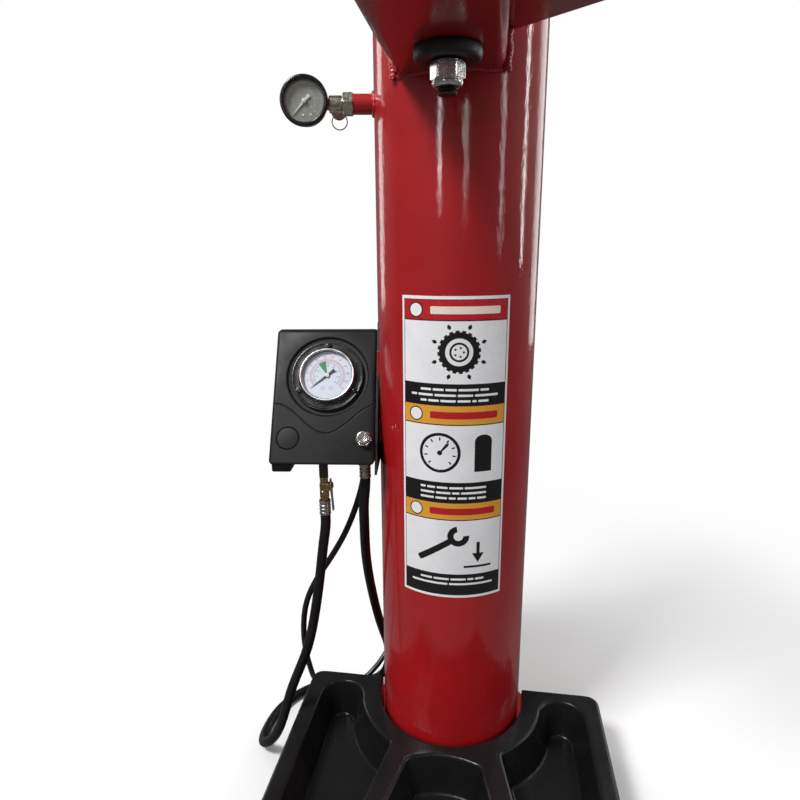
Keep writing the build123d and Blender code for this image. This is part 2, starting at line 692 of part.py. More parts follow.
with BuildPart() as console_bracket:
    with BuildSketch(side_plane.offset(CONSOLE_HALF_W)):
        with BuildLine():
            Polyline(
                (-half_d + 2, -half_h - 11),
                (-half_d + 8, -half_h + 3),
                (half_d - 5, half_h),
                (half_d, half_h + 9),
                (CONSOLE_BACK - 6, half_h + 9),
                (CONSOLE_BACK - 6, -half_h - 11),
                close=True,
            )
        make_face()
    extrude(amount=tank_side - FIT_GAP - CONSOLE_HALF_W)
    with BuildSketch(side_plane.offset(CONSOLE_HALF_W)):
        with Locations(*bracket_screws):
            Circle(2.55)
    extrude(amount=5, mode=Mode.SUBTRACT)
save(console_bracket.part, "console_bracket")

with BuildPart() as console_screws:
    with BuildSketch(side_plane.offset(CONSOLE_HALF_W - CONSOLE_WALL)):
        with Locations(*bracket_screws):
            Circle(4.5)
    extrude(amount=-2.5)
    with BuildSketch(side_plane.offset(CONSOLE_HALF_W - CONSOLE_WALL)):
        with Locations(*bracket_screws):
            Circle(2.5)
    extrude(amount=CONSOLE_WALL + 2.4)
save(console_screws.part, "console_screws")

with BuildPart() as blank_plug:
    disc(blank_plane, -CONSOLE_WALL, 0, BLANK_R - 0.15)
    disc(blank_plane, -CONSOLE_WALL - 1.5, -CONSOLE_WALL, BLANK_R + 1.5)
save(blank_plug.part, "blank_plug")

gauge_set(
    "console_gauge",
    dial_plane,
    BIG_CASE_R,
    BIG_BEZEL_R,
    BIG_CASE_BACK,
    BIG_CASE_MOUTH,
    BIG_DIAL_ZERO,
    "back",
    GAUGE_FLANGE_R,
)

with BuildPart() as gauge_screws:
    with BuildSketch(dial_plane.offset(2)):
        with PolarLocations(FLANGE_SCREW_R, 3, start_angle=SCREW_START):
            Circle(3.3)
    extrude(amount=1.6)
    with BuildSketch(dial_plane.offset(-6)):
        with PolarLocations(FLANGE_SCREW_R, 3, start_angle=SCREW_START):
            Circle(2.0)
    extrude(amount=8)
save(gauge_screws.part, "gauge_screws")

# ---------------------------------------------------------------- deflate valve and air line
with BuildPart() as valve_manifold:
    with BuildSketch(level_plane.offset(floor_z)):
        with Locations((43.75, 7.5)):
            Rectangle(19.5, 49)
    extrude(amount=24)
    disc(button_plane, -18, BUTTON_BUSH_TOP, BUTTON_BUSH_R)
    disc(button_plane, -8, BUTTON_BUSH_TOP, 5.0, Mode.SUBTRACT)
    disc(button_plane, -19, -8, 1.56, Mode.SUBTRACT)
    disc(hose_plane, floor_top, floor_top + 10, 6.05, Mode.SUBTRACT)
    disc(tube_plane, floor_top, floor_top + 8, 4.55, Mode.SUBTRACT)
save(valve_manifold.part, "valve_manifold")

with BuildPart() as button_nut:
    hexagon(button_plane, 0, 3, 15.5)
    disc(button_plane, 0, 3, BUTTON_BUSH_R + 0.03, Mode.SUBTRACT)
save(button_nut.part, "button_nut")

with BuildPart() as deflate_button:
    disc(button_plane, BUTTON_CAP_Z, BUTTON_CAP_Z + 3, 7.2)
    fillet(deflate_button.faces().sort_by(Axis(button_plane.origin, face_normal))[-1].edges(), 1.2)
    disc(button_plane, 0, BUTTON_CAP_Z, 4.95)
    disc(button_plane, -13, 0, 1.5)
save(deflate_button.part, "deflate_button")

with BuildPart() as button_spring:
    coil(button_plane, 3.2, 0.45, -7.4, -0.6, 4)
save(button_spring.part, "button_spring")

elbow_end = face_plane.from_local_coords(Vector(DIAL_X, DIAL_Y - 14, BIG_CASE_BACK - 6))
manifold_top = level_plane.from_local_coords(Vector(40.0, 15.0, floor_z + 24))
with BuildPart() as capillary_line:
    with BuildLine() as capillary_path:
        Spline(
            elbow_end,
            manifold_top,
            tangents=(-face_plane.y_dir, Vector(0, 0, -1)),
            tangent_scalars=(1, 1),
        )
    with BuildSketch(Plane(origin=elbow_end, z_dir=-face_plane.y_dir)):
        Circle(2.0)
        Circle(1.2, mode=Mode.SUBTRACT)
    sweep(path=capillary_path.line)
save(capillary_line.part, "capillary_line")

# ---------------------------------------------------------------- hoses and chuck
stub_low = CHUCK_TOP + 0.4
with BuildPart() as park_stub:
    disc(chuck_plane, stub_low, floor_bottom, 5.0)
    disc(chuck_plane, floor_bottom, floor_top, 3.0)
    disc(chuck_plane, floor_top, floor_top + 2.2, 5.5)
    disc(chuck_plane, stub_low - 7, stub_low, 3.35)
save(park_stub.part, "park_stub")

with BuildPart() as chuck_body:
    disc(chuck_plane, 366, CHUCK_TOP, 4.4)
    disc(chuck_plane, CHUCK_BOTTOM + 3, 366, 5.2)
    disc(chuck_plane, CHUCK_BOTTOM, CHUCK_BOTTOM + 3, 4.4)
    disc(chuck_plane, FERRULE_END + 4, CHUCK_BOTTOM, HOSE_BORE - 0.1)
    with BuildSketch(chuck_plane.offset(LEVER_PIN_Z - 4)):
        with Locations((6, 3.5), (6, -3.5)):
            Rectangle(8, 1.6)
    extrude(amount=8)
    disc(chuck_plane, 366, CHUCK_TOP, 3.45, Mode.SUBTRACT)
    disc(chuck_plane, FERRULE_END + 4, 366, 1.5, Mode.SUBTRACT)
    pin_spot = Vector(CHUCK_X + LEVER_PIN_OUT, CHUCK_Y, LEVER_PIN_Z)
    pin_plane = Plane(origin=pin_spot, x_dir=(1, 0, 0), z_dir=(0, -1, 0))
    disc(pin_plane, -6, 6, 1.0, Mode.SUBTRACT)
save(chuck_body.part, "chuck_body")

with BuildPart() as lever_pin:
    disc(pin_plane, -4.3, 4.3, 0.98)
save(lever_pin.part, "lever_pin")

with BuildPart() as chuck_lever:
    with BuildSketch(pin_plane.offset(-2.5)):
        with BuildLine():
            Polyline(
                (-0.6, 9),
                (0.4, 9),
                (1.3, 1),
                (1.7, -12),
                (2.7, -28),
                (1.5, -28),
                (0.5, -12),
                (-0.6, 0),
                close=True,
            )
        make_face()
        Circle(1.9)
        Circle(1.03, mode=Mode.SUBTRACT)
    extrude(amount=5)
save(chuck_lever.part, "chuck_lever")

with BuildPart() as crimp_ferrule:
    disc(chuck_plane, FERRULE_END, CHUCK_BOTTOM, 6.4)
    fillet(crimp_ferrule.edges(), 0.8)
    disc(chuck_plane, FERRULE_END, CHUCK_BOTTOM, HOSE_R + 0.02, Mode.SUBTRACT)
save(crimp_ferrule.part, "crimp_ferrule")

hex_low = floor_bottom - 8
with BuildPart() as hose_fitting:
    disc(hose_plane, floor_bottom, floor_top + 8, 6.0)
    hexagon(hose_plane, hex_low, floor_bottom, 15)
    disc(hose_plane, hex_low - 15, hex_low, 6.4)
    disc(hose_plane, hex_low - 15, hex_low, HOSE_R + 0.02, Mode.SUBTRACT)
    disc(hose_plane, hex_low - 13, hex_low, HOSE_BORE - 0.1)
    disc(hose_plane, hex_low - 13, floor_top + 8, 1.5, Mode.SUBTRACT)
save(hose_fitting.part, "hose_fitting")

hose_start = Vector(hose_port.X, hose_port.Y, hex_low)
hose_knots = (
    (-97.5, -41, 344),
    (-99.1, -36, 317),
    (-101.5, -22, 272),
    (-102.3, 0, 220),
    (-100.0, 22, 168),
    (-96.0, 42, 122),
    (-92.5, 60, 86),
    (-93.5, 74, 50),
    (-104, 78, 19),
    (-130, 73, 7.5),
    (-168, 66, 7),
    (-206, 46, 7),
    (-230, 12, 7),
    (-238, -24, 7),
    (-233, -56, 12),
    (-215, -69, 31),
    (-188, -65, 102),
    (-167.6, -60, 156),
    (-156.0, -54, 209),
    (-149.3, -51, 254),
    (-143.6, -50, 295),
)
with BuildPart() as inflation_hose:
    with BuildLine() as hose_path:
        drop = Line(hose_start, hose_start + Vector(0, 0, -18))
        rise = Line((CHUCK_X, CHUCK_Y, FERRULE_END - 6), (CHUCK_X, CHUCK_Y, CHUCK_BOTTOM))
        Spline([drop @ 1, *hose_knots, rise @ 0], tangents=((0, 0, -1), (0, 0, 1)), tangent_scalars=(1, 1))
    with BuildSketch(Plane(origin=hose_start, z_dir=(0, 0, -1))):
        Circle(HOSE_R)
    sweep(path=hose_path.line)
    disc(hose_plane, hex_low - 13.5, hex_low, HOSE_BORE, Mode.SUBTRACT)
    disc(chuck_plane, FERRULE_END + 3.5, CHUCK_BOTTOM, HOSE_BORE, Mode.SUBTRACT)
save(inflation_hose.part, "inflation_hose")

supply_plane = radial_plane(SUPPLY_AZIMUTH, SUPPLY_Z)
supply_fitting_end = TANK_R + 28
with BuildPart() as tube_fittings:
    disc(tube_plane, floor_bottom - 16, floor_bottom, 6.5)
    disc(tube_plane, floor_bottom, floor_top + 6, 4.5)
    disc(tube_plane, floor_bottom - 16, floor_bottom - 4, TUBE_R + 0.02, Mode.SUBTRACT)
    disc(tube_plane, floor_bottom - 4, floor_top + 6, 2.0, Mode.SUBTRACT)
    disc(supply_plane, TANK_R + 1.5, TANK_R + 9, 4.5)
    hexagon(supply_plane, TANK_R + 9, TANK_R + 15, 14)
    disc(supply_plane, TANK_R + 15, supply_fitting_end, 6.5)
    disc(supply_plane, TANK_R + 16, supply_fitting_end, TUBE_R + 0.02, Mode.SUBTRACT)
    disc(supply_plane, TANK_R + 1.5, TANK_R + 16, 2.0, Mode.SUBTRACT)
save(tube_fittings.part, "tube_fittings")

tube_start = Vector(tube_port.X, tube_port.Y, floor_bottom - 4)
tube_end = outward(SUPPLY_AZIMUTH) * (TANK_R + 16) + Vector(0, 0, SUPPLY_Z)
tube_knots = (
    (-105.5, -6, 356),
    (-114.3, -5, 323),
    (-127.3, -12, 289),
    (-146.3, -20, 255),
    (-162.5, -25, 229),
    (-175.7, -26, 199),
    (-184.0, -20, 154),
    (-187.4, -8, 118),
    (-188.6, 14, 66),
    (-184, 36, 30),
    (-164, 52, 14),
    (-139, 60, 14),
    (-118, 72, 26),
    (-102, 91, 42),
    (-90, 111, 66),
    (-78, 119, 94),
)
with BuildPart() as supply_tube:
    with BuildLine() as tube_path:
        enter = Line(tube_start, tube_start + Vector(0, 0, -14))
        leave = Line(tube_end + outward(SUPPLY_AZIMUTH) * 15, tube_end)
        Spline(
            [enter @ 1, *tube_knots, leave @ 0],
            tangents=((0, 0, -1), -outward(SUPPLY_AZIMUTH)),
            tangent_scalars=(1, 1),
        )
    with BuildSketch(Plane(origin=tube_start, z_dir=(0, 0, -1))):
        Circle(TUBE_R)
    sweep(path=tube_path.line)
save(supply_tube.part, "supply_tube")


# ---------------------------------------------------------------- weld beads
def ring_fillet(level, leg, rise, start, arc):
    """Fillet weld between the tank and a level plate; rise is negative for a bead below the plate."""
    with BuildSketch(section_plane(start)) as section:
        with BuildLine():
            Polyline((TANK_R, level), (TANK_R + leg, level), (TANK_R, level + rise), close=True)
        make_face()
    revolve(section.sketch, axis=Axis.Z, revolution_arc=arc)


def socket_fillet(plane, radius, leg):
    """Conical fillet weld round a socket on the tank's side."""
    with BuildSketch(plane.offset(TANK_R - leg)) as wide:
        Circle(radius + 2 * leg)
    with BuildSketch(plane.offset(TANK_R + leg)) as narrow:
        Circle(radius)
    loft(sections=[wide.sketch, narrow.sketch])
    disc(plane, TANK_R - leg, TANK_R + leg, radius, Mode.SUBTRACT)


def wall_bead(corner_x, side):
    """Upright bead in the corner between a bracket wall and the tank."""
    corner_y = -((TANK_R**2 - corner_x**2) ** 0.5)
    with BuildSketch(Plane.XY.offset(WEB_Z + 3)) as section:
        with BuildLine():
            Polyline(
                (corner_x, corner_y + 12),
                (corner_x, corner_y - 6),
                (corner_x + side * 5.5, corner_y + 4),
                (corner_x + side * 5.5, corner_y + 12),
                close=True,
            )
        make_face()
    extrude(section.sketch, amount=DECK_Z - WEB_Z - 3)


def stitch_bead(low, side):
    """Short upright bead in the wedge between the console bracket and the tank."""
    edge = tank_side - FIT_GAP
    with BuildSketch(level_plane.offset(low)) as section:
        with BuildLine():
            Polyline(
                (edge, axis_depth + side * 7),
                (edge, axis_depth + side * 13),
                (edge + 2.6, axis_depth + side * 19),
                (edge + 4, axis_depth + side * 7),
                close=True,
            )
        make_face()
    extrude(section.sketch, amount=30)


with BuildPart() as weld_beads:
    ring_fillet(FLANGE_T, 4.5, 4.5, 0, 360)
    ring_fillet(WEB_Z, 5, -6, BEAD_START, BEAD_ARC)
    ring_fillet(deck_top, 5, 5, BEAD_START, BEAD_ARC)
    socket_fillet(branch_axis, NIPPLE_R, 2.2)
    socket_fillet(radial_plane(BLAST_AZIMUTH, PORT_Z), BLAST_SOCKET_R, 3)
    socket_fillet(radial_plane(INLET_AZIMUTH, PORT_Z), INLET_SOCKET_R, 2)
    socket_fillet(supply_plane, SUPPLY_SOCKET_R, 1.5)
    wall_bead(CHANNEL_RIGHT, 1)
    wall_bead(CHANNEL_LEFT, -1)
    for low in (-55, 20):
        for side in (-1, 1):
            stitch_bead(low, side)
    cut_tank()
save(weld_beads.part, "weld_beads")


# ---------------------------------------------------------------- tool tray
def side_pocket(grow):
    """Outline of the right-hand pocket at the rim: rounded at the back and following the tank's collar."""
    with BuildSketch(Plane.XY.offset(TRAY_RIM)) as pocket:
        with BuildLine():
            Line((SIDE_OUTER, POCKET_FRONT), (SIDE_OUTER, SIDE_BACK))
            ThreePointArc((SIDE_OUTER, SIDE_BACK), (SIDE_MIDDLE, SIDE_TOP), (SIDE_INNER, SIDE_BACK))
            ThreePointArc((SIDE_INNER, SIDE_BACK), (91, -66), (SIDE_KNEE_X, SIDE_KNEE_Y))
            Line((SIDE_KNEE_X, SIDE_KNEE_Y), (SIDE_FRONT_X, POCKET_FRONT))
            Line((SIDE_FRONT_X, POCKET_FRONT), (SIDE_OUTER, POCKET_FRONT))
        make_face()
        fillet(pocket.vertices().group_by(Axis.Y)[0], 14)
        fillet(pocket.vertices().filter_by(lambda v: abs(v.Y - SIDE_KNEE_Y) < 0.1), 6)
        if grow > 0:
            offset(amount=grow)
    return pocket.sketch


def front_pocket(grow):
    """Outline of the middle pocket in front of the tank, splayed towards the front."""
    with BuildSketch(Plane.XY.offset(TRAY_RIM)) as pocket:
        with BuildLine():
            Line((-MID_BACK_HALF, MID_BACK_Y), (-MID_FRONT_HALF, POCKET_FRONT))
            Line((-MID_FRONT_HALF, POCKET_FRONT), (MID_FRONT_HALF, POCKET_FRONT))
            Line((MID_FRONT_HALF, POCKET_FRONT), (MID_BACK_HALF, MID_BACK_Y))
            ThreePointArc((MID_BACK_HALF, MID_BACK_Y), (0, MID_BACK_Y + 9), (-MID_BACK_HALF, MID_BACK_Y))
        make_face()
        fillet(pocket.vertices(), 8)
        if grow > 0:
            offset(amount=grow)
    return pocket.sketch


def tray_outline(inset):
    """Outline of the tray with its U-shaped cut-out for the tank, drawn in by inset."""
    half_w = TRAY_HALF_W - inset
    length = TRAY_BACK - TRAY_FRONT - 2 * inset
    with BuildSketch(Plane.XY) as outline:
        with Locations((0, (TRAY_BACK + TRAY_FRONT) / 2)):
            RectangleRounded(2 * half_w, length, TRAY_CORNER - inset)
        Circle(TRAY_U_R + inset, mode=Mode.SUBTRACT)
        with Locations((0, 20)):
            Rectangle(2 * (TRAY_U_R + inset), 40, mode=Mode.SUBTRACT)
    return outline.sketch


with BuildPart() as tool_tray:
    extrude(tray_outline(0), amount=TRAY_RIM)
    extrude(tray_outline(TRAY_SKIN), amount=TRAY_RIM - TRAY_SKIN, mode=Mode.SUBTRACT)
    for grow, mode in ((TRAY_SKIN, Mode.ADD), (0, Mode.SUBTRACT)):
        depth = TRAY_RIM - TRAY_FLOOR + grow
        right = side_pocket(grow)
        extrude(right, amount=-depth, taper=TRAY_TAPER, mode=mode)
        left = mirror(right, about=Plane.YZ, mode=Mode.PRIVATE)
        extrude(left, amount=-depth, taper=TRAY_TAPER, mode=mode)
        extrude(front_pocket(grow), amount=-depth, taper=TRAY_TAPER, mode=mode)
    disc(Plane.XY, 0, FLANGE_T + 2, FLANGE_R + 4, Mode.SUBTRACT)
save(tool_tray.part, "tool_tray")
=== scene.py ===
"""Looks of the blast air tank column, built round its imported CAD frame. Lengths are in millimetres until a piece is
placed, and every place comes from the frame: joint axes and node boxes."""
import json
from math import atan2, cos, degrees, hypot, pi, radians, sin, sqrt, tan

import bmesh
import bpy
from mathutils import Matrix, Vector, noise


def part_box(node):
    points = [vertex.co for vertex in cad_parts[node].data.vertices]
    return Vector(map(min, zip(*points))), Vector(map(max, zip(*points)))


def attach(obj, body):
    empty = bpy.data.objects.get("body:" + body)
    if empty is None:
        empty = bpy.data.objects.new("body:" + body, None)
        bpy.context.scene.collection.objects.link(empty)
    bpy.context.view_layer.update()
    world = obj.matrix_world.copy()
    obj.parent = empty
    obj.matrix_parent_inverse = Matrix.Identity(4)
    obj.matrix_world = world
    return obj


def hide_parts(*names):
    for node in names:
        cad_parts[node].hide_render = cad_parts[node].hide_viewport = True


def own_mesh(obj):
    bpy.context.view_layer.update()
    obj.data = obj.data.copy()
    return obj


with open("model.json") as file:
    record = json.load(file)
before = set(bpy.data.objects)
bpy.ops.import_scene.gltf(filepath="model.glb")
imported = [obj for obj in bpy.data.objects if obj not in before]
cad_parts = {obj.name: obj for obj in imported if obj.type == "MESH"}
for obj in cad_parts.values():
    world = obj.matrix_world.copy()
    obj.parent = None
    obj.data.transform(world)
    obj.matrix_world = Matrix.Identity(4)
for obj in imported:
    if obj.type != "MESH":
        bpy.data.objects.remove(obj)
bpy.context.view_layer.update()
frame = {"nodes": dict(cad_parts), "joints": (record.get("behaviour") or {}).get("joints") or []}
nodes = frame["nodes"]
joints = {joint["name"]: joint for joint in frame["joints"]}

MM = 0.001
UP = Vector((0, 0, 1))
UPRIGHT = (1, 1, 0.12)
EVEN = (1, 1, 1)
SHARP = radians(32)
CORNER_CHAMFER = radians(32)
HEX_SEGMENTS = 96
MERGE_GAP = 1e-4


# ---- places read from the frame
def size(name):
    """Lowest corner, highest corner and centre of a CAD node, in millimetres."""
    low, high = (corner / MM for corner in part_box(name))
    return low, high, (low + high) / 2


def place(origin, normal=UP, across=None):
    """Matrix from local millimetres, with z along the normal, to the row frame in metres."""
    z = Vector(normal).normalized()
    x = Vector(across) if across is not None else UP.cross(z)
    if x.length < 1e-6:
        x = Vector((1, 0, 0))
    x = (x - z * z.dot(x)).normalized()
    turn = Matrix((x, z.cross(x), z)).transposed().to_4x4()
    return Matrix.Translation(Vector(origin) * MM) @ turn @ Matrix.Scale(MM, 4)


def outward(azimuth):
    """Unit vector away from the tank axis; azimuth 0 is the front, positive towards +X."""
    return Vector((sin(radians(azimuth)), -cos(radians(azimuth)), 0))


TANK_R = (size("tank_shell")[1].x - size("tank_shell")[0].x) / 2
SHELL_TOP = size("tank_shell")[1].z
FLANGE_TOP = size("base_flange")[1].z
WEB_Z = size("arm_bracket")[0].z
DECK_LOW = size("deck_plate")[0].z
DECK_TOP = size("deck_plate")[1].z
SOCKET_Z = size("air_sockets")[1].z - 21.0
SUPPLY_Z = 105.0

gauge_normal = -Vector(joints["tank_pointer_turn"]["axis"])
gauge_centre = Vector(joints["tank_pointer_turn"]["pos_m"]) / MM
gauge_place = place(gauge_centre, gauge_normal)
gauge_out = gauge_normal.cross(UP)
GAUGE_Z = size("gauge_tee")[2].z

face_normal = -Vector(joints["console_pointer_turn"]["axis"])
dial_centre = Vector(joints["console_pointer_turn"]["pos_m"]) / MM
dial_place = place(dial_centre, face_normal)
face_right = UP.cross(face_normal).normalized()
face_up = face_normal.cross(face_right)


# ---- shader building blocks
def connect(tree, value, socket):
    """Links a socket to an input, or sets the input's value; None leaves it alone."""
    if isinstance(value, bpy.types.NodeSocket):
        tree.links.new(value, socket)
    elif value is not None:
        socket.default_value = value


def node(tree, kind, output, **inputs):
    """Output of a new shader node, whose inputs are named with underscores for spaces."""
    made = tree.nodes.new("ShaderNode" + kind)
    for name, value in inputs.items():
        connect(tree, value, made.inputs[name.replace("_", " ")])
    return made.outputs[output]


def combine(tree, operation, first, second=None, kind="Math"):
    """Value of a scalar or vector operation."""
    made = tree.nodes.new("ShaderNode" + kind)
    made.operation = operation
    if kind == "Math":
        made.use_clamp = True
    connect(tree, first, made.inputs[0])
    connect(tree, second, made.inputs[1])
    return made.outputs["Value"]


def blend_shaders(tree, factor, first, second):
    """Sends a mix of two shaders to the material's surface."""
    made = tree.nodes.new("ShaderNodeMixShader")
    for value, socket in zip((factor, first, second), made.inputs):
        connect(tree, value, socket)
    tree.links.new(made.outputs["Shader"], tree.nodes["Material Output"].inputs["Surface"])


def bare_material(name):
    """New node material with its tree, its Principled shader and the piece's own coordinates."""
    material = bpy.data.materials.new(name)
    material.use_nodes = True
    tree = material.node_tree
    return material, tree, tree.nodes["Principled BSDF"], node(tree, "TexCoord", "Object")


def grain(tree, where, scale, stretch=(1, 1, 1), detail=3.0):
    """Noise factor; scale is in features per metre."""
    stretched = node(tree, "Mapping", "Vector", Vector=where, Scale=stretch)
    return node(tree, "TexNoise", "Fac", Vector=stretched, Scale=scale, Detail=detail)


def remap(tree, value, low, high, start=0.35, stop=0.65):
    """Maps a noise factor to a range, held at both ends."""
    return node(tree, "MapRange", "Result", Value=value, From_Min=start, From_Max=stop, To_Min=low, To_Max=high)


def mix(tree, factor, first, second):
    """Colour between two colours or colour sockets."""
    made = tree.nodes.new("ShaderNodeMix")
    made.data_type = "RGBA"
    tree.links.new(factor, made.inputs["Factor"])
    for name, value in (("A", first), ("B", second)):
        socket = next(i for i in made.inputs if i.name == name and i.type == "RGBA")
        connect(tree, (*value, 1) if isinstance(value, tuple) else value, socket)
    return next(o for o in made.outputs if o.type == "RGBA")


def relief(tree, height, depth, under):
    """Bump normal over another normal; depth is in millimetres."""
    return node(tree, "Bump", "Normal", Strength=1.0, Distance=depth * MM, Height=height, Normal=under)


def soft_edges(tree, radius):
    """Normal that rounds a hard edge by a radius in millimetres."""
    made = tree.nodes.new("ShaderNodeBevel")
    made.samples = 4
    made.inputs["Radius"].default_value = radius * MM
    return made.outputs["Normal"]


def edge_wear(tree, radius):
    """Factor that rises towards the piece's hard edges."""
    plain = node(tree, "NewGeometry", "Normal")
    alike = combine(tree, "DOT_PRODUCT", soft_edges(tree, radius), plain, "VectorMath")
    return remap(tree, alike, 1, 0, 0.75, 0.98)


def surface(name, light, dark, rough, blotch=25.0, metal=0.0, coat=0.0, bumps=(), edge=0.0, wear=None, specks=None,
            sheen=0.5):
    """General finish: two tones in soft blotches, roughness that varies with them, stacked bumps, soft and worn
    edges, and fine specks. Each bump is (features per metre, stretch, depth in mm)."""
    material, tree, shader, where = bare_material(name)
    colour = mix(tree, remap(tree, grain(tree, where, blotch, detail=5), 0, 1), light, dark)
    if specks:
        shade, share, scale = specks
        dots = remap(tree, grain(tree, where, scale, detail=1), 0, 1, share, share + 0.05)
        colour = mix(tree, dots, colour, shade)
    if wear:
        shade, radius = wear
        patchy = remap(tree, grain(tree, where, 90, detail=6), 0, 0.9, 0.45, 0.62)
        colour = mix(tree, combine(tree, "MULTIPLY", edge_wear(tree, radius), patchy), colour, shade)
    normal = soft_edges(tree, edge) if edge else None
    for scale, stretch, depth in bumps:
        normal = relief(tree, grain(tree, where, scale, stretch), depth, normal)
    smears = grain(tree, where, blotch * 3, detail=6)
    settings = {
        "Base Color": colour, "Roughness": remap(tree, smears, *rough), "Metallic": metal, "Coat Weight": coat,
        "Coat Roughness": 0.05, "Specular IOR Level": sheen, "Normal": normal, "Coat Normal": normal,
    }
    for setting, value in settings.items():
        connect(tree, value, shader.inputs[setting])
    return material


def metal(name, light, dark, rough, blotch, edge=0.0, *bumps, specks=None):
    """Bare metal finish."""
    return surface(name, light, dark, rough, blotch, 1.0, bumps=bumps, edge=edge, specks=specks)


def clear_material():
    """Thin clear lens: mostly see-through, with a sheen that grows towards grazing angles and faint smears."""
    material, tree, shader, where = bare_material("clear_lens")
    tree.nodes.remove(shader)
    through = node(tree, "BsdfTransparent", "BSDF", Color=(0.97, 0.98, 0.98, 1))
    smears = remap(tree, grain(tree, where, 60, detail=6), 0.02, 0.10)
    gloss = node(tree, "BsdfGlossy", "BSDF", Roughness=smears)
    outer_only = combine(tree, "SUBTRACT", node(tree, "Fresnel", "Fac", IOR=1.38),
                         node(tree, "NewGeometry", "Backfacing"))
    blend_shaders(tree, outer_only, through, gloss)
    return material


def ink(name, colour, rough=0.35):
    """Printed colour with slight unevenness."""
    darker = tuple(c * 0.93 for c in colour)
    return surface(name, colour, darker, (rough, rough + 0.12), blotch=40, bumps=((900, EVEN, 0.01),))


red_paint = surface(
    "red_paint", (0.42, 0.0075, 0.0105), (0.33, 0.0055, 0.008), (0.46, 0.60), blotch=9, coat=1.0, edge=1.2,
    bumps=((70, UPRIGHT, 0.22), (230, (1, 1, 0.4), 0.17), (700, EVEN, 0.05)), wear=((0.14, 0.010, 0.011), 1.0),
    sheen=0.2,
)
black_paint = surface(
    "black_paint", (0.016, 0.016, 0.017), (0.010, 0.010, 0.011), (0.32, 0.46), edge=0.6,
    bumps=((700, EVEN, 0.03),), wear=((0.20, 0.19, 0.18), 0.6),
)
rubber = surface(
    "black_rubber", (0.020, 0.020, 0.021), (0.013, 0.013, 0.014), (0.40, 0.60), edge=0.5,
    bumps=((500, EVEN, 0.03), (1600, EVEN, 0.02)), specks=((0.07, 0.07, 0.065), 0.72, 700),
)
hose_rubber = surface(
    "hose_rubber", (0.009, 0.009, 0.010), (0.005, 0.005, 0.006), (0.30, 0.44), blotch=30,
    bumps=((350, EVEN, 0.05), (1500, EVEN, 0.015)), specks=((0.04, 0.04, 0.04), 0.74, 500), sheen=0.3,
)
tube_plastic = surface(
    "tube_plastic", (0.009, 0.009, 0.011), (0.006, 0.006, 0.008), (0.22, 0.36), bumps=((300, EVEN, 0.04),),
)
zinc = metal("zinc_steel", (0.60, 0.59, 0.56), (0.42, 0.41, 0.38), (0.22, 0.42), 180, 0.35, (1800, (1, 1, 0.15), 0.012))
chrome = metal("chrome", (0.80, 0.79, 0.77), (0.60, 0.59, 0.57), (0.16, 0.32), 240, 0.5, (450, EVEN, 0.02))
satin = metal("satin_chrome", (0.66, 0.66, 0.67), (0.52, 0.52, 0.53), (0.30, 0.42), 200, 0.3, (700, EVEN, 0.01))
nickel = metal("nickel", (0.70, 0.66, 0.56), (0.46, 0.42, 0.34), (0.20, 0.38), 260, 0.5, (600, EVEN, 0.02),
               specks=((0.14, 0.11, 0.07), 0.72, 500))
dark_steel = metal("dark_steel", (0.09, 0.085, 0.08), (0.04, 0.038, 0.035), (0.30, 0.50), 260, 0.2, (1400, EVEN, 0.02))
steel = metal("drawn_steel", (0.50, 0.49, 0.47), (0.36, 0.35, 0.33), (0.26, 0.44), 120, 0.3,
              (1500, (1, 0.1, 1), 0.015))
wire_steel = metal("wire_steel", (0.55, 0.54, 0.50), (0.34, 0.33, 0.30), (0.18, 0.32), 400)
brass = metal("brass", (0.62, 0.44, 0.20), (0.40, 0.27, 0.11), (0.20, 0.40), 200, 0.3, (1600, (1, 1, 0.1), 0.012),
              specks=((0.16, 0.09, 0.04), 0.70, 420))
copper = metal("copper_alloy", (0.72, 0.43, 0.30), (0.52, 0.28, 0.18), (0.20, 0.38), 220, 0.3,
               (1600, (1, 1, 0.1), 0.012))
nylon = surface("nylon", (0.62, 0.62, 0.58), (0.50, 0.50, 0.46), (0.40, 0.55), bumps=((900, EVEN, 0.02),))
gauge_black = surface(
    "gauge_black", (0.012, 0.012, 0.013), (0.007, 0.007, 0.008), (0.20, 0.34), coat=0.3, edge=0.3,
    bumps=((1100, EVEN, 0.015),),
)
console_plastic = surface(
    "console_plastic", (0.013, 0.013, 0.014), (0.008, 0.008, 0.009), (0.40, 0.52), blotch=16, edge=0.5,
    bumps=((1500, EVEN, 0.05), (600, EVEN, 0.03)), specks=((0.055, 0.055, 0.052), 0.76, 300), sheen=0.25,
)
tray_plastic = surface(
    "tray_plastic", (0.011, 0.011, 0.012), (0.007, 0.007, 0.008), (0.22, 0.36), blotch=10,
    bumps=((1200, EVEN, 0.03), (120, EVEN, 0.12)), specks=((0.045, 0.043, 0.040), 0.76, 260), sheen=0.35,
)
film = ink("label_film", (0.90, 0.89, 0.90), 0.22)
film_grey = ink("label_grey", (0.88, 0.88, 0.90), 0.22)
film_black = ink("label_black", (0.008, 0.008, 0.009), 0.30)
film_red = ink("label_red", (0.50, 0.014, 0.022), 0.22)
film_orange = ink("label_orange", (0.78, 0.36, 0.04), 0.22)
film_cream = ink("label_cream", (0.88, 0.78, 0.66), 0.22)
dial_white = ink("dial_white", (0.70, 0.74, 0.84))
dial_grey = ink("dial_grey", (0.34, 0.34, 0.30))
mark_pale = ink("mark_pale", (0.72, 0.72, 0.66))
mark_red = ink("mark_red", (0.66, 0.07, 0.07))
mark_black = ink("mark_black", (0.020, 0.020, 0.025))
mark_green = ink("mark_green", (0.035, 0.28, 0.07))
mark_white = ink("mark_white", (0.85, 0.85, 0.82))
clear = clear_material()


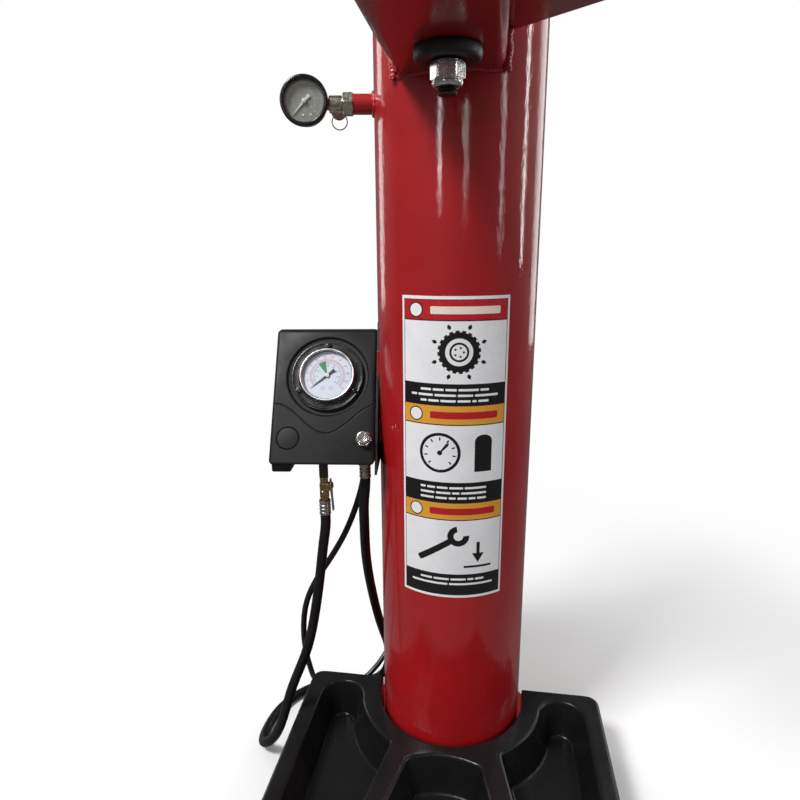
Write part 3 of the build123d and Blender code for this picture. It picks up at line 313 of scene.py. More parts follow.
# ---- mesh building blocks
def add_object(name, data):
    """New object in the scene."""
    made = bpy.data.objects.new(name, data)
    bpy.context.scene.collection.objects.link(made)
    return made


def finish_piece(bm, name, materials, at, stands_for=None, body="tank", sharp=SHARP):
    """Turns a bmesh into a placed object with smooth shading, materials and its CAD body."""
    bmesh.ops.remove_doubles(bm, verts=bm.verts, dist=MERGE_GAP)
    bmesh.ops.recalc_face_normals(bm, faces=bm.faces)
    bm.transform(at)
    for face in bm.faces:
        face.smooth = True
    for edge in bm.edges:
        edge.smooth = len(edge.link_faces) == 2 and edge.calc_face_angle() < sharp
    mesh = bpy.data.meshes.new(name)
    bm.to_mesh(mesh)
    bm.free()
    for material in materials if isinstance(materials, list) else [materials]:
        mesh.materials.append(material)
    piece = add_object(name, mesh)
    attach(piece, body)
    if stands_for:
        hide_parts(stands_for)
    return piece


def polar(radius, angle, z=0.0):
    return radius * cos(angle), radius * sin(angle), z


def shifted(at, x=0.0, y=0.0, z=0.0):
    """Placing matrix moved along its own axes."""
    return at @ Matrix.Translation((x, y, z))


def soften(points, closed=True, steps=4):
    """Rounds the corners of an outline; each point is (x, y, radius)."""
    outline = []
    for i, (x, y, radius) in enumerate(points):
        here = Vector((x, y))
        if radius <= 0 or (not closed and i in (0, len(points) - 1)):
            outline.append((x, y))
            continue
        before = Vector(points[i - 1][:2]) - here
        after = Vector(points[(i + 1) % len(points)][:2]) - here
        reach = min(radius, 0.49 * before.length, 0.49 * after.length)
        start = here + before.normalized() * reach
        stop = here + after.normalized() * reach
        for k in range(steps + 1):
            t = k / steps
            outline.append(tuple((1 - t) ** 2 * start + 2 * t * (1 - t) * here + t**2 * stop))
    return outline


def spin(profile, segments, closed=True, bm=None, wobble=None):
    """Surface of revolution of (radius, height) points; wobble(angle, radius, height) may change the radius."""
    bm = bm or bmesh.new()
    rings = []
    for radius, height in profile:
        if radius < 1e-4:
            rings.append([bm.verts.new((0, 0, height))])
            continue
        angles = [2 * pi * k / segments for k in range(segments)]
        rings.append([bm.verts.new(polar(wobble(a, radius, height) if wobble else radius, a, height))
                      for a in angles])
    for low, high in zip(rings, rings[1:] + rings[:1] if closed else rings[1:]):
        for k in range(segments):
            j = (k + 1) % segments
            corners = (low[k % len(low)], low[j % len(low)], high[j % len(high)], high[k % len(high)])
            distinct = list(dict.fromkeys(corners))
            if len(distinct) > 2:
                bm.faces.new(distinct)
    return bm


def lathe_solid(points, segments, bm=None):
    """Turned solid from a rounded profile that starts and ends on the axis."""
    return spin(soften(points, closed=False), segments, False, bm)


def lathe_ring(points, segments, bm=None):
    """Turned ring from a rounded closed profile."""
    return spin(soften(points), segments, bm=bm)


def hex_block(flats, low, high, hole=0.0, bm=None, ends=(True, True)):
    """Hexagon nut or bolt head with the curved chamfers that turning leaves on its corners."""
    half = flats / 2
    corner = half / cos(pi / 6)
    step = pi / 3
    face_r = half * 0.96

    def drop(radius, end):
        return max(0.0, radius - face_r) * tan(CORNER_CHAMFER) if ends[end] else 0.0

    bm = bm or bmesh.new()
    columns = []
    for k in range(HEX_SEGMENTS):
        angle = 2 * pi * k / HEX_SEGMENTS
        outer = min(half / cos((angle % step) - step / 2), corner * 0.985)
        inner_r = min(face_r, outer) * 0.999
        profile = [(hole, low), (inner_r, low), (outer, low + drop(outer, 0)), (outer, high - drop(outer, 1)),
                   (inner_r, high), (hole, high)]
        columns.append([bm.verts.new(polar(r, angle, z)) for r, z in profile])
    rows = len(columns[0])
    for here, after in zip(columns, columns[1:] + columns[:1]):
        for i in range(rows if hole else rows - 1):
            j = (i + 1) % rows
            bm.faces.new((here[i], after[i], after[j], here[j]))
    return bm


def raise_face(outline, low, high):
    """Closed prism of an outline between two heights."""
    bm = bmesh.new()
    face = bm.faces.new([bm.verts.new((x, y, low)) for x, y in outline])
    raised = bmesh.ops.extrude_face_region(bm, geom=[face])["geom"]
    bmesh.ops.translate(bm, verts=[v for v in raised if isinstance(v, bmesh.types.BMVert)], vec=(0, 0, high - low))
    return bm


def slab(outline, low, high, bevel=0.0, segments=2):
    """Flat plate of an outline, with its edges rounded."""
    bm = raise_face(outline, low, high)
    bmesh.ops.recalc_face_normals(bm, faces=bm.faces)
    if bevel:
        edges = [e for e in bm.edges if e.calc_face_angle(0) > SHARP]
        bmesh.ops.bevel(bm, geom=edges, offset=bevel, segments=segments, profile=0.5, affect="EDGES",
                        clamp_overlap=True)
    return bm


def merge(bm, other, at=None):
    """Adds another bmesh, moved by a matrix, and frees it."""
    if at is not None:
        other.transform(at)
    mesh = bpy.data.meshes.new("merging")
    other.to_mesh(mesh)
    other.free()
    bm.from_mesh(mesh)
    bpy.data.meshes.remove(mesh)
    return bm


def bridge(bm, rings, closed=False):
    """Faces from each ring of points to the next, with end faces unless the rings close on themselves."""
    for low, high in zip(rings, rings[1:] + rings[:1] if closed else rings[1:]):
        for k in range(len(low)):
            j = (k + 1) % len(low)
            bm.faces.new((low[k], low[j], high[j], high[k]))
    if not closed:
        bm.faces.new(rings[0])
        bm.faces.new(rings[-1])
    return bm


def sweep(points, radius, sides, closed=False, bm=None):
    """Round tube along points; radius is a number or a function of (distance, angle)."""
    bm = bm or bmesh.new()
    count = len(points)
    side = None
    rings, distance = [], 0.0
    for i, point in enumerate(points):
        before = points[i - 1] if i or closed else point
        after = points[(i + 1) % count] if i + 1 < count or closed else point
        along = (after - before).normalized()
        if side is None:
            side = along.cross(UP if abs(along.z) < 0.9 else Vector((1, 0, 0)))
        side = (side - along * along.dot(side)).normalized()
        other = along.cross(side)
        if i:
            distance += (point - points[i - 1]).length
        ring = []
        for k in range(sides):
            angle = 2 * pi * k / sides
            r = radius(distance, angle) if callable(radius) else radius
            ring.append(bm.verts.new(point + side * (r * cos(angle)) + other * (r * sin(angle))))
        rings.append(ring)
    return bridge(bm, rings, closed)


def thread_rod(radius, pitch, low, high, segments=64):
    """Threaded bar with a helical groove that fades at both ends and a chamfered lower tip."""
    depth = 0.61 * pitch
    rows = max(8, round((high - low) / pitch * 10))
    bm = bmesh.new()
    rings = []
    for i in range(rows + 1):
        z = low + (high - low) * i / rows
        fade = min(1.0, (z - low) / pitch, (high - z) / pitch)
        tip = max(0.0, 1.2 - (z - low)) * 0.9
        ring = []
        for k in range(segments):
            phase = ((z - low) / pitch - k / segments) % 1.0
            cut = depth * (1 - abs(2 * phase - 1)) ** 0.9 * fade
            ring.append(bm.verts.new(polar(radius - max(cut, tip), 2 * pi * k / segments, z)))
        rings.append(ring)
    return bridge(bm, rings)


def build_spring(name, at, radius, wire, low, high, turns):
    """Coil spring between two heights, in place of the CAD node of the same name."""
    steps = 24 * turns
    points = [Vector(polar(radius, 2 * pi * k / 24, low + (high - low) * k / steps)) for k in range(steps + 1)]
    spring = finish_piece(sweep(points, wire, 12), name + "_coil", wire_steel, at, name)
    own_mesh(spring)


def temporary(bm):
    """Object that holds a bmesh for a boolean and is removed afterwards."""
    bmesh.ops.recalc_face_normals(bm, faces=bm.faces)
    mesh = bpy.data.meshes.new("cutter")
    bm.to_mesh(mesh)
    bm.free()
    return add_object("cutter", mesh)


def carve(bm, cutters, operation="DIFFERENCE"):
    """Cuts each bmesh out of the first, or joins it on, and returns the result."""
    target = temporary(bm)
    holders = [temporary(cutter) for cutter in cutters]
    for holder in holders:
        step = target.modifiers.new("cut", "BOOLEAN")
        step.object = holder
        step.operation = operation
        step.solver = "EXACT"
    bpy.context.view_layer.update()
    evaluated = target.evaluated_get(bpy.context.evaluated_depsgraph_get())
    result = bmesh.new()
    result.from_mesh(evaluated.to_mesh())
    for holder in (target, *holders):
        mesh = holder.data
        bpy.data.objects.remove(holder)
        bpy.data.meshes.remove(mesh)
    return result


# ---- welds
def ripple(bead, pitch=2.6, seed=0.0):
    """Radius of a weld bead with the crescents and lumps that a hand weld leaves."""
    def radius(distance, angle):
        crest = abs(sin(pi * distance / pitch + 0.9 * cos(angle)))
        lump = noise.noise(Vector((distance * 0.13 + seed, cos(angle) * 0.6, sin(angle) * 0.6)))
        return bead * (0.84 + 0.18 * crest + 0.30 * lump)
    return radius


def level_arc(radius, z, start, stop, step=0.7):
    """Points of a level arc round the tank axis, between two azimuths."""
    count = max(8, round(radius * radians(abs(stop - start)) / step))
    return [outward(start + (stop - start) * k / count) * radius + UP * z for k in range(count)]


def saddle(azimuth, z, radius, lift=0.3, step=0.6):
    """Closed line where a round socket meets the tank's side."""
    out, side = outward(azimuth), outward(azimuth + 90)
    count = round(2 * pi * radius / step)
    line = []
    for k in range(count):
        across, rise, _ = polar(radius, 2 * pi * k / count)
        line.append(out * sqrt((TANK_R + lift) ** 2 - across**2) + side * across + UP * (z + rise))
    return line


def upright(x, y, low, high, step=0.6):
    count = round((high - low) / step)
    return [Vector((x, y, low + (high - low) * k / count)) for k in range(count + 1)]


def build_welds():
    bracket_low, bracket_high, _ = size("arm_bracket")
    left, right = bracket_low.x, bracket_high.x
    arc_left, arc_right = -degrees(atan2(-left, TANK_R)) - 4, degrees(atan2(right, TANK_R)) + 3
    bm = sweep(level_arc(TANK_R + 0.7, FLANGE_TOP + 0.7, 0, 360), ripple(3.3), 12, True)
    sweep(level_arc(TANK_R - 0.7, SHELL_TOP, 0, 360), ripple(2.2, seed=5), 12, True, bm)
    sweep(level_arc(TANK_R - 0.2, WEB_Z + 0.3, arc_left, arc_right), ripple(2.9, 3.6, 9), 14, False, bm)
    sweep(level_arc(TANK_R, DECK_TOP + 0.2, arc_left, arc_right), ripple(3.0, seed=2), 12, False, bm)
    for x, side, bead in ((right, 1, 4.4), (left, -1, 3.6)):
        run = upright(x + side, -sqrt(TANK_R**2 - x**2) - 1.2, WEB_Z - 1, DECK_LOW - 1)
        sweep(run, ripple(bead, 3.4, 11 + side), 14, False, bm)
    gauge_azimuth = degrees(atan2(gauge_out.x, -gauge_out.y))
    for azimuth, z, radius, bead in ((gauge_azimuth, GAUGE_Z, 10.1, 2.2), (180.0, SOCKET_Z, 21.8, 2.9),
                                     (150.0, SOCKET_Z, 12.6, 2.2), (210.0, SUPPLY_Z, 9.5, 1.8)):
        sweep(saddle(azimuth, z, radius), ripple(bead, 2.2, azimuth), 12, True, bm)
    console_z = size("console_bracket")[2].z
    for low in (-54, 21):
        for side in (-1, 1):
            spot = -face_right * (TANK_R - 0.7) + console_back * (side * 12.5)
            sweep(upright(spot.x, spot.y, console_z + low, console_z + low + 29), ripple(1.9), 10, False, bm)
    finish_piece(bm, "weld_runs", red_paint, place((0, 0, 0)), "weld_beads", sharp=radians(75))


# ---- arm mount bolt
def build_bolt():
    low, high, middle = size("pivot_bolt")
    at = place((middle.x, middle.y, 0), across=(1, 0, 0))
    nut_low, nut_high = (corner.z for corner in size("lock_nut")[:2])
    head = high.z - 10
    shank = 7.95
    bm = thread_rod(shank, 2.0, low.z, nut_high - 2)
    lathe_solid([(0, nut_high - 2.2, 0), (shank, nut_high - 2.2, 0), (shank, head + 1, 0), (0, head + 1, 0)], 48, bm)
    hex_block(24, head, high.z, bm=bm, ends=(False, True))
    finish_piece(bm, "arm_bolt", dark_steel, at, "pivot_bolt")

    pad_low, pad_high, _ = size("rubber_washer")
    edge = pad_high.x - middle.x
    pad = lathe_ring([
        (8.3, pad_low.z + 1.2, 0.8), (15, pad_low.z + 1.2, 0.8), (17, pad_low.z, 1.2), (edge - 1.2, pad_low.z, 3.2),
        (edge, pad_low.z + 5, 3.5), (edge - 0.6, pad_high.z, 2.0), (8.3, pad_high.z, 0.4),
    ], 128)
    finish_piece(pad, "rubber_pad", rubber, at, "rubber_washer")

    collar = nut_low + 5
    nut = hex_block(24, collar - 0.4, nut_high, hole=8.05)
    lathe_ring([
        (8.9, nut_low, 0.5), (10.6, nut_low, 1.2), (12.1, nut_low + 2.2, 1.0), (12.1, collar - 1.3, 0.8),
        (11.3, collar - 0.7, 0.2), (11.3, collar + 0.5, 0), (9.9, collar + 0.5, 0), (9.9, nut_low + 1.0, 0.3),
        (8.9, nut_low + 0.8, 0.2),
    ], 96, bm=nut)
    finish_piece(nut, "lock_nut_turned", chrome, at, "lock_nut")


# ---- tank gauge and safety valve
TANK_CASE_R = 21.5
BEZEL_LIP = 2.2
NIPPLE_END, TEE_BRANCH, TEE_END = 104.5, 121.2, 128.3


def build_tank_gauge():
    wall = TANK_CASE_R - 1.5
    cup = lathe_solid([
        (0, -11, 0), (TANK_CASE_R - 1, -11, 3.0), (TANK_CASE_R, 3, 0), (TANK_CASE_R, 10.6, 0.3), (wall, 10.6, 0.3),
        (wall, -9.4, 1.5), (0, -9.4, 0),
    ], 128)
    finish_piece(cup, "tank_gauge_cup", gauge_black, gauge_place, "tank_gauge_case")
    lip = TANK_CASE_R - BEZEL_LIP
    ring = lathe_ring([
        (lip, 12.5, 0.3), (lip + 0.7, 13.8, 0.8), (lip + 2.8, 14.0, 1.3), (lip + 4.0, 12.2, 1.4),
        (lip + 4.0, 7.0, 1.0), (lip + 3.2, 5.9, 0.5), (lip + 2.25, 5.9, 0.2), (lip + 2.25, 12.4, 0.1),
    ], 128)
    finish_piece(ring, "tank_gauge_ring", gauge_black, gauge_place, "tank_gauge_bezel")


def build_tee():
    at = place((0, 0, GAUGE_Z), gauge_out)
    tee = hex_block(20, NIPPLE_END, NIPPLE_END + 10.3, hole=6.0)
    lathe_ring([
        (6.0, NIPPLE_END + 9, 0), (7.2, NIPPLE_END + 9, 0), (7.2, NIPPLE_END + 11.0, 0.2),
        (8.0, NIPPLE_END + 11.4, 0.4), (8.0, TEE_END, 0.9), (6.0, TEE_END, 0.2),
    ], 96, bm=tee)
    branch = lathe_ring([(4.5, 4, 0), (7.0, 4, 0), (7.0, 13.8, 0.7), (4.5, 13.8, 0.2)], 72)
    valve_at = place(gauge_out * TEE_BRANCH + UP * GAUGE_Z, -gauge_normal)
    merge(tee, branch, at.inverted() @ valve_at)
    finish_piece(tee, "gauge_tee_turned", nickel, at, "gauge_tee")

    body = lathe_ring([
        (5.6, 20, 0), (8.0, 20, 0), (8.0, 25.5, 0.3), (7.5, 26.0, 0.2), (7.5, 27.0, 0.2), (8.0, 27.5, 0.3),
        (8.0, 38, 1.6), (1.6, 38, 0.3), (1.6, 35, 0), (5.6, 35, 0.3),
    ], 96)
    drills = []
    for azimuth in (0, 90):
        drill = spin([(0, -12), (2.3, -12), (2.3, 12), (0, 12)], 32, False)
        drill.transform(Matrix.Translation((0, 0, 31.5)) @ Matrix.Rotation(radians(azimuth), 4, "Z") @
                        Matrix.Rotation(pi / 2, 4, "X"))
        drills.append(drill)
    body = carve(body, drills)
    hex_block(14.5, 13.9, 20.4, hole=3.0, bm=body)
    finish_piece(body, "safety_valve_turned", copper, valve_at, "safety_valve_body")
    build_spring("safety_valve_spring", valve_at, 3.9, 0.5, 22.8, 34.2, 5)


# ---- printed dials
TANK_DIAL_TOP = 8.2
TANK_SCALE = (227.0, 270.0)
CONSOLE_DIAL_TOP = 1.4
CONSOLE_SCALE = (219.0, 260.0)
INK_DEPTH = 0.05
NUMBER_DEPTH = 0.03


def flat_print(outline):
    return raise_face(outline, 0, INK_DEPTH)


def printed(name, shapes, at, build=flat_print):
    """Piece of printed shapes, each (material, drawing); build makes a drawing's bmesh in local millimetres."""
    bm = bmesh.new()
    inks = []
    for material, drawing in shapes:
        if material not in inks:
            inks.append(material)
        own = build(drawing)
        for face in own.faces:
            face.material_index = inks.index(material)
        merge(bm, own)
    finish_piece(bm, name, inks, at)


def bar(angle, start, stop, width):
    """Outline of a radial tick."""
    along = Vector((cos(radians(angle)), sin(radians(angle))))
    aside = Vector((-along.y, along.x)) * width / 2
    return [tuple(along * r + aside * s) for r, s in ((start, -1), (stop, -1), (stop, 1), (start, 1))]


def arc(start, stop, radius, step=3.0):
    """Points of a circular arc between two angles."""
    count = max(2, round(abs(stop - start) / step))
    return [polar(radius, radians(start + (stop - start) * k / count))[:2] for k in range(count + 1)]


def band(start, stop, inner, outer, step=3.0):
    """Outline of a circular band between two angles."""
    return arc(start, stop, outer, step) + arc(start, stop, inner, step)[::-1]


def round_patch(x, y, radius, count=20):
    return [(x + radius * cos(2 * pi * k / count), y + radius * sin(2 * pi * k / count)) for k in range(count)]


def scale_line(material, scale, inner, outer, parts):
    """Circular line along a scale, which is (angle of zero, swing), in short bands."""
    zero, swing = scale
    edges = [zero - swing * k / parts for k in range(parts + 1)]
    return [(material, band(start, stop, inner, outer)) for start, stop in zip(edges, edges[1:])]


def ticks(material, scale, count, every, long, short):
    """Radial marks along a scale; long and short marks are (start radius, stop radius, width)."""
    zero, swing = scale
    return [(material, bar(zero - swing * k / count, *(short if k % every else long))) for k in range(count + 1)]


def numerals(name, values, scale, radius, height, material, at):
    """Dial numbers, upright, spread evenly along the scale."""
    zero, swing = scale
    bm = bmesh.new()
    for k, value in enumerate(values):
        text = bpy.data.curves.new("number", "FONT")
        text.body = str(value)
        text.size = height
        text.align_x, text.align_y = "CENTER", "CENTER"
        text.extrude = NUMBER_DEPTH
        holder = add_object("number", text)
        bpy.context.view_layer.update()
        letter = bmesh.new()
        letter.from_mesh(holder.evaluated_get(bpy.context.evaluated_depsgraph_get()).to_mesh())
        merge(bm, letter, Matrix.Translation(polar(radius, radians(zero - swing * k / (len(values) - 1)))))
        bpy.data.objects.remove(holder)
        bpy.data.curves.remove(text)
    finish_piece(bm, name, material, at)


def build_dial_screws(spots, radius, height, at):
    """Slotted round heads standing on the tank gauge's dial."""
    bm = bmesh.new()
    reach, half = radius * 2, radius * 0.16
    for x, y in spots:
        head = lathe_solid([(0, -0.2, 0), (radius, -0.2, 0), (radius, height, height * 0.7), (0, height, 0)], 40)
        slit = slab([(-reach, -half), (reach, -half), (reach, half), (-reach, half)], height * 0.45, height * 2)
        merge(bm, carve(head, [slit]), Matrix.Translation((x, y, 0)) @ Matrix.Rotation(0.6 + x, 4, "Z"))
    finish_piece(bm, "tank_dial_screws", mark_white, at)


def build_hub(body, at, radius, shoulder, rounding, top):
    """Turned cap in the middle of a pointer, named after the pointer's body."""
    cap = lathe_solid([(0, -0.2, 0), (radius, -0.2, 0), (radius, shoulder, rounding), (radius - 1.3, shoulder, 0.1),
                       (radius - 1.4, top, 0.3), (0, top, 0)], 48)
    finish_piece(cap, body + "_hub", mark_white, shifted(at, z=0.8), body=body)


def build_tank_dial():
    at = shifted(gauge_place, z=TANK_DIAL_TOP)
    shapes = scale_line(mark_pale, TANK_SCALE, 16.9, 17.15, 12) + scale_line(mark_pale, TANK_SCALE, 10.6, 10.8, 12)
    shapes += ticks(mark_pale, TANK_SCALE, 50, 5, (15.2, 16.9, 0.30), (16.0, 16.9, 0.16))
    shapes += ticks(mark_pale, TANK_SCALE, 25, 5, (9.4, 10.6, 0.16), (10.0, 10.6, 0.16))
    printed("tank_dial_print", shapes, at)
    numerals("tank_dial_numbers", range(0, 11, 2), TANK_SCALE, 13.2, 2.5, mark_pale, at)
    numerals("tank_dial_inner_numbers", range(0, 151, 50), TANK_SCALE, 7.6, 1.9, mark_pale, at)
    build_dial_screws(((-1.6, -12.6), (5.8, -12.2)), 1.15, 0.5, at)
    build_hub("tank_pointer", at, 2.4, 1.5, 0.6, 2.1)


def build_console_dial():
    at = shifted(dial_place, z=CONSOLE_DIAL_TOP)
    stops = [(x, -14.4) for x in (-4.4, 4.4)]
    shapes = [(mark_green, [(0.0, 0.0), *arc(98, 128, 16.81)])]
    for material, inner, outer in ((mark_red, 17.0, 17.2), (mark_red, 19.2, 19.35), (mark_black, 15.1, 15.3)):
        shapes += scale_line(material, CONSOLE_SCALE, inner, outer, 13)
    shapes += ticks(mark_red, CONSOLE_SCALE, 110, 10, (17.2, 19.2, 0.42), (17.2, 19.2, 0.18))
    shapes += ticks(mark_black, CONSOLE_SCALE, 80, 10, (13.4, 15.1, 0.36), (14.3, 15.1, 0.15))
    shapes += [(mark_black, round_patch(x, y, 1.9)) for x, y in stops]
    printed("console_dial_print", shapes, at)
    rings = [(dial_white, round_patch(x, y, 1.6)) for x, y in stops]
    printed("console_dial_stops", rings, shifted(at, z=0.04))
    numerals("console_dial_red_numbers", range(0, 221, 20), CONSOLE_SCALE, 22.2, 3.0, mark_red, at)
    numerals("console_dial_black_numbers", range(0, 17, 2), CONSOLE_SCALE, 11.4, 2.7, mark_black, at)
    build_hub("console_pointer", at, 2.3, 1.6, 0.5, 2.0)


# ---- console
DIAL_OFFSET = Vector((2.8, 22.9))
HALF_W, HALF_L, DEPTH, WALL = 57.0, 77.0, 52.0, 3.0
WAVE_LOW, WAVE_RISE, WAVE_HALF, WAVE_MIDDLE = -41.8, 32.5, 56.0, 3.5
SLOPE = atan2(face_normal.z, hypot(face_normal.x, face_normal.y))
console_centre = dial_centre - face_right * DIAL_OFFSET.x - face_up * DIAL_OFFSET.y
console_back = UP.cross(face_right)
side_place = place(console_centre, face_right, console_back)


def on_face(name):
    """Placing matrix at the console's face where a node's axis meets it."""
    spot = dial_place.inverted() @ (size(name)[2] * MM)
    return shifted(dial_place, spot.x, spot.y)


def build_cover():
    half_h, half_d = HALF_L * cos(SLOPE), HALF_L * sin(SLOPE)
    inner_h = half_h - WALL
    inner_d = inner_h * tan(SLOPE)
    shift = WALL / cos(SLOPE)
    wedge = [(-half_d, -half_h), (DEPTH, -half_h), (DEPTH, half_h), (half_d, half_h)]
    hollow = [(-inner_d + shift, -inner_h), (DEPTH + 5, -inner_h), (DEPTH + 5, inner_h), (inner_d + shift, inner_h)]
    foot = slab([(-half_d + 3, -half_h - 9), (-half_d + 25, -half_h - 9), (-half_d + 25, -half_h + 6),
                 (-half_d + 3, -half_h + 6)], -54, -33, 2.0, 3)
    shell = carve(slab(wedge, -HALF_W, HALF_W, 4.0, 5), [foot], "UNION")
    recess = lathe_solid([(0, -2.2, 0), (44.3, -2.2, 1.2), (45.3, -0.6, 0.8), (46.6, 0.05, 0.5), (46.6, 4, 0),
                          (0, 4, 0)], 160)
    socket = lathe_solid([(0, -2.6, 0), (12.1, -2.6, 0), (12.1, -0.7, 0.4), (13.0, 0.05, 0.5), (13.0, 4, 0),
                          (0, 4, 0)], 96)
    blank_place = on_face("blank_plug")
    socket.transform(dial_place.inverted() @ blank_place)
    line = []
    for k in range(-66, 67, 2):
        phase = (min(max(k, WAVE_MIDDLE - WAVE_HALF), WAVE_MIDDLE + WAVE_HALF) - WAVE_MIDDLE) / WAVE_HALF
        y = WAVE_LOW + WAVE_RISE * (1 - cos(pi * phase)) / 2
        line.append(Vector((k - DIAL_OFFSET.x, y - DIAL_OFFSET.y, 0.1)))
    cutters = [recess, socket, sweep(line, 1.05, 12)]
    for cutter in cutters:
        cutter.transform(side_place.inverted() @ dial_place)
    shell = carve(shell, [slab(hollow, -HALF_W + WALL, HALF_W - WALL), *cutters])
    finish_piece(shell, "console_shell", console_plastic, side_place, "console_cover",
                 sharp=radians(28))
    plug = lathe_solid([(0, -2.4, 0), (11.9, -2.4, 0), (11.9, -0.1, 0.9), (0, -0.1, 0)], 96)
    finish_piece(plug, "console_blank", console_plastic, blank_place, "blank_plug")


def screw_head(radius, height):
    """Pan head with a cross recess."""
    head = lathe_solid([(0, -0.5, 0), (radius, -0.5, 0), (radius, height * 0.5, height * 0.4),
                        (radius * 0.62, height, height * 0.6), (0, height, 0)], 48)
    arm, half = radius * 0.58, radius * 0.13
    slits = []
    for turn in (0, pi / 2):
        slit = slab([(-arm, -half), (arm, -half), (arm, half), (-arm, half)], height * 0.25, height * 2)
        slit.transform(Matrix.Rotation(turn + 0.4, 4, "Z"))
        slits.append(slit)
    return carve(head, slits)


def build_console_gauge():
    case_r, flange_r, screw_r = 29.5, 40.0, 35.3
    body = lathe_solid([
        (0, -24, 0), (case_r, -24, 3), (case_r, -2.0, 0), (flange_r, -2.0, 0.3), (flange_r, 1.9, 1.1),
        (38.0, 1.9, 0.6), (37.4, 1.1, 0.4), (32.0, 1.1, 0.4), (31.2, 2.0, 0.3), (case_r, 2.0, 0.1),
        (case_r, 3.8, 0.1), (case_r - 1.4, 3.8, 0.1), (case_r - 1.4, -22.5, 1), (0, -22.5, 0),
    ], 160)
    heads = bmesh.new()
    for k in range(3):
        angle = radians(90 + 120 * k)
        spot = Matrix.Translation(polar(screw_r, angle))
        merge(body, lathe_solid([(0, 0.8, 0), (4.4, 0.8, 0), (4.4, 1.7, 0.5), (0, 1.7, 0)], 48), spot)
        merge(heads, screw_head(3.1, 1.7), shifted(spot, z=1.9) @ Matrix.Rotation(angle, 4, "Z"))
    finish_piece(body, "console_gauge_body", gauge_black, dial_place, "console_gauge_case")
    finish_piece(heads, "console_gauge_screw_heads", gauge_black, dial_place, "gauge_screws")
    lip = case_r - BEZEL_LIP
    ring = lathe_ring([
        (lip, 5.5, 0.2), (lip + 0.8, 6.9, 0.7), (lip + 2.4, 7.2, 0.9), (lip + 3.3, 6.0, 0.9), (lip + 3.3, 2.1, 0.3),
        (lip + 2.25, 2.1, 0.1), (lip + 2.25, 5.4, 0.1),
    ], 160)
    finish_piece(ring, "console_gauge_ring", satin, dial_place, "console_gauge_bezel")


def build_button():
    at = on_face("button_nut")
    cap = lathe_solid([
        (0, -13, 0), (1.5, -13, 0.2), (1.5, 0, 0), (4.9, 0, 0.3), (4.9, 7.4, 0), (7.2, 7.4, 0.5), (7.2, 9.6, 0.9),
        (6.2, 10.4, 0.7), (4.6, 10.4, 0.4), (4.2, 10.0, 0.3), (2.4, 10.0, 0.2), (2.2, 9.7, 0.2), (0, 9.7, 0),
    ], 96)
    finish_piece(cap, "deflate_button_cap", chrome, at, "deflate_button", body="deflate_button")
    nut = hex_block(15.5, 0, 3, hole=6.03)
    finish_piece(nut, "deflate_button_nut", chrome, at, "button_nut")
    build_spring("button_spring", at, 3.2, 0.45, -7.4, -0.6, 4)


# ---- hose ends
CRIMP_R, CRIMP_BORE = 6.4, 5.75


def crimped(low, high, rings=3):
    """Turned sleeve with pressed-in rings."""
    points = [(CRIMP_BORE, low, 0.1), (CRIMP_R, low, 0.5)]
    for k in range(1, rings + 1):
        z = low + (high - low) / (rings + 1) * k
        points += [(CRIMP_R, z - 1.1, 0.3), (CRIMP_R - 0.55, z - 0.5, 0.3), (CRIMP_R - 0.55, z + 0.5, 0.3),
                   (CRIMP_R, z + 1.1, 0.3)]
    return lathe_ring(points + [(CRIMP_R, high, 0.5), (CRIMP_BORE, high, 0.1)], 72)


def build_hose_ends():
    low, high, middle = size("hose_fitting")
    hex_low = low.z + 15
    fitting = crimped(low.z, hex_low + 0.4)
    hex_block(15, hex_low, hex_low + 8, hole=3.0, bm=fitting)
    spin([(1.6, low.z + 2), (2.8, low.z + 2), (2.8, hex_low), (6.0, hex_low + 7.9), (6.0, high.z), (1.6, high.z)],
         48, bm=fitting)
    finish_piece(fitting, "hose_fitting_turned", zinc, place((middle.x, middle.y, 0), across=face_right),
                 "hose_fitting")

    low, high, middle = size("crimp_ferrule")
    chuck_at = place((middle.x, middle.y, 0), across=(1, 0, 0))
    finish_piece(crimped(low.z, high.z), "hose_crimp", zinc, chuck_at, "crimp_ferrule")

    base = high.z
    top = size("chuck_body")[1].z

    def knurl(angle, radius, z):
        return radius - 0.22 * (0.5 + 0.5 * cos(angle * 26)) if base + 4.2 < z < base + 11 and radius > 5 else radius

    rows = [(0, low.z + 4.2), (2.85, low.z + 4.2), (2.85, base), (4.4, base), (4.5, base + 2.6), (5.2, base + 3.2),
            (5.2, base + 4), (5.2, base + 4.6), (5.2, base + 10.6), (5.2, base + 11.2), (4.8, base + 11.6),
            (4.8, base + 12.4), (5.2, base + 12.8), (5.2, base + 19.6), (4.5, base + 20.2), (4.5, top - 2.4),
            (4.9, top - 2.0), (4.9, top - 0.7), (4.4, top), (3.45, top), (3.45, base + 21), (0, base + 21)]
    chuck = spin(rows, 104, False, wobble=knurl)
    ear_z = size("lever_pin")[2].z
    for side in (-1, 1):
        ear = slab(soften([(2.2, -4, 0), (9.6, -4, 2.5), (9.6, 4, 2.5), (2.2, 4, 0)]), -0.8, 0.8, 0.2)
        merge(chuck, ear, Matrix.Translation((0, side * 3.5, ear_z)) @ Matrix.Rotation(pi / 2, 4, "X"))
    finish_piece(chuck, "chuck_turned", brass, chuck_at, "chuck_body")


# ---- safety label
LABEL_SPAN = 75.2
LABEL_AZIMUTH = 3.05
LABEL_MARGIN = 3.1
PRINT_LIFT = 0.335
LAYER_LIFT = 0.03
DASH_GAP = 1.6
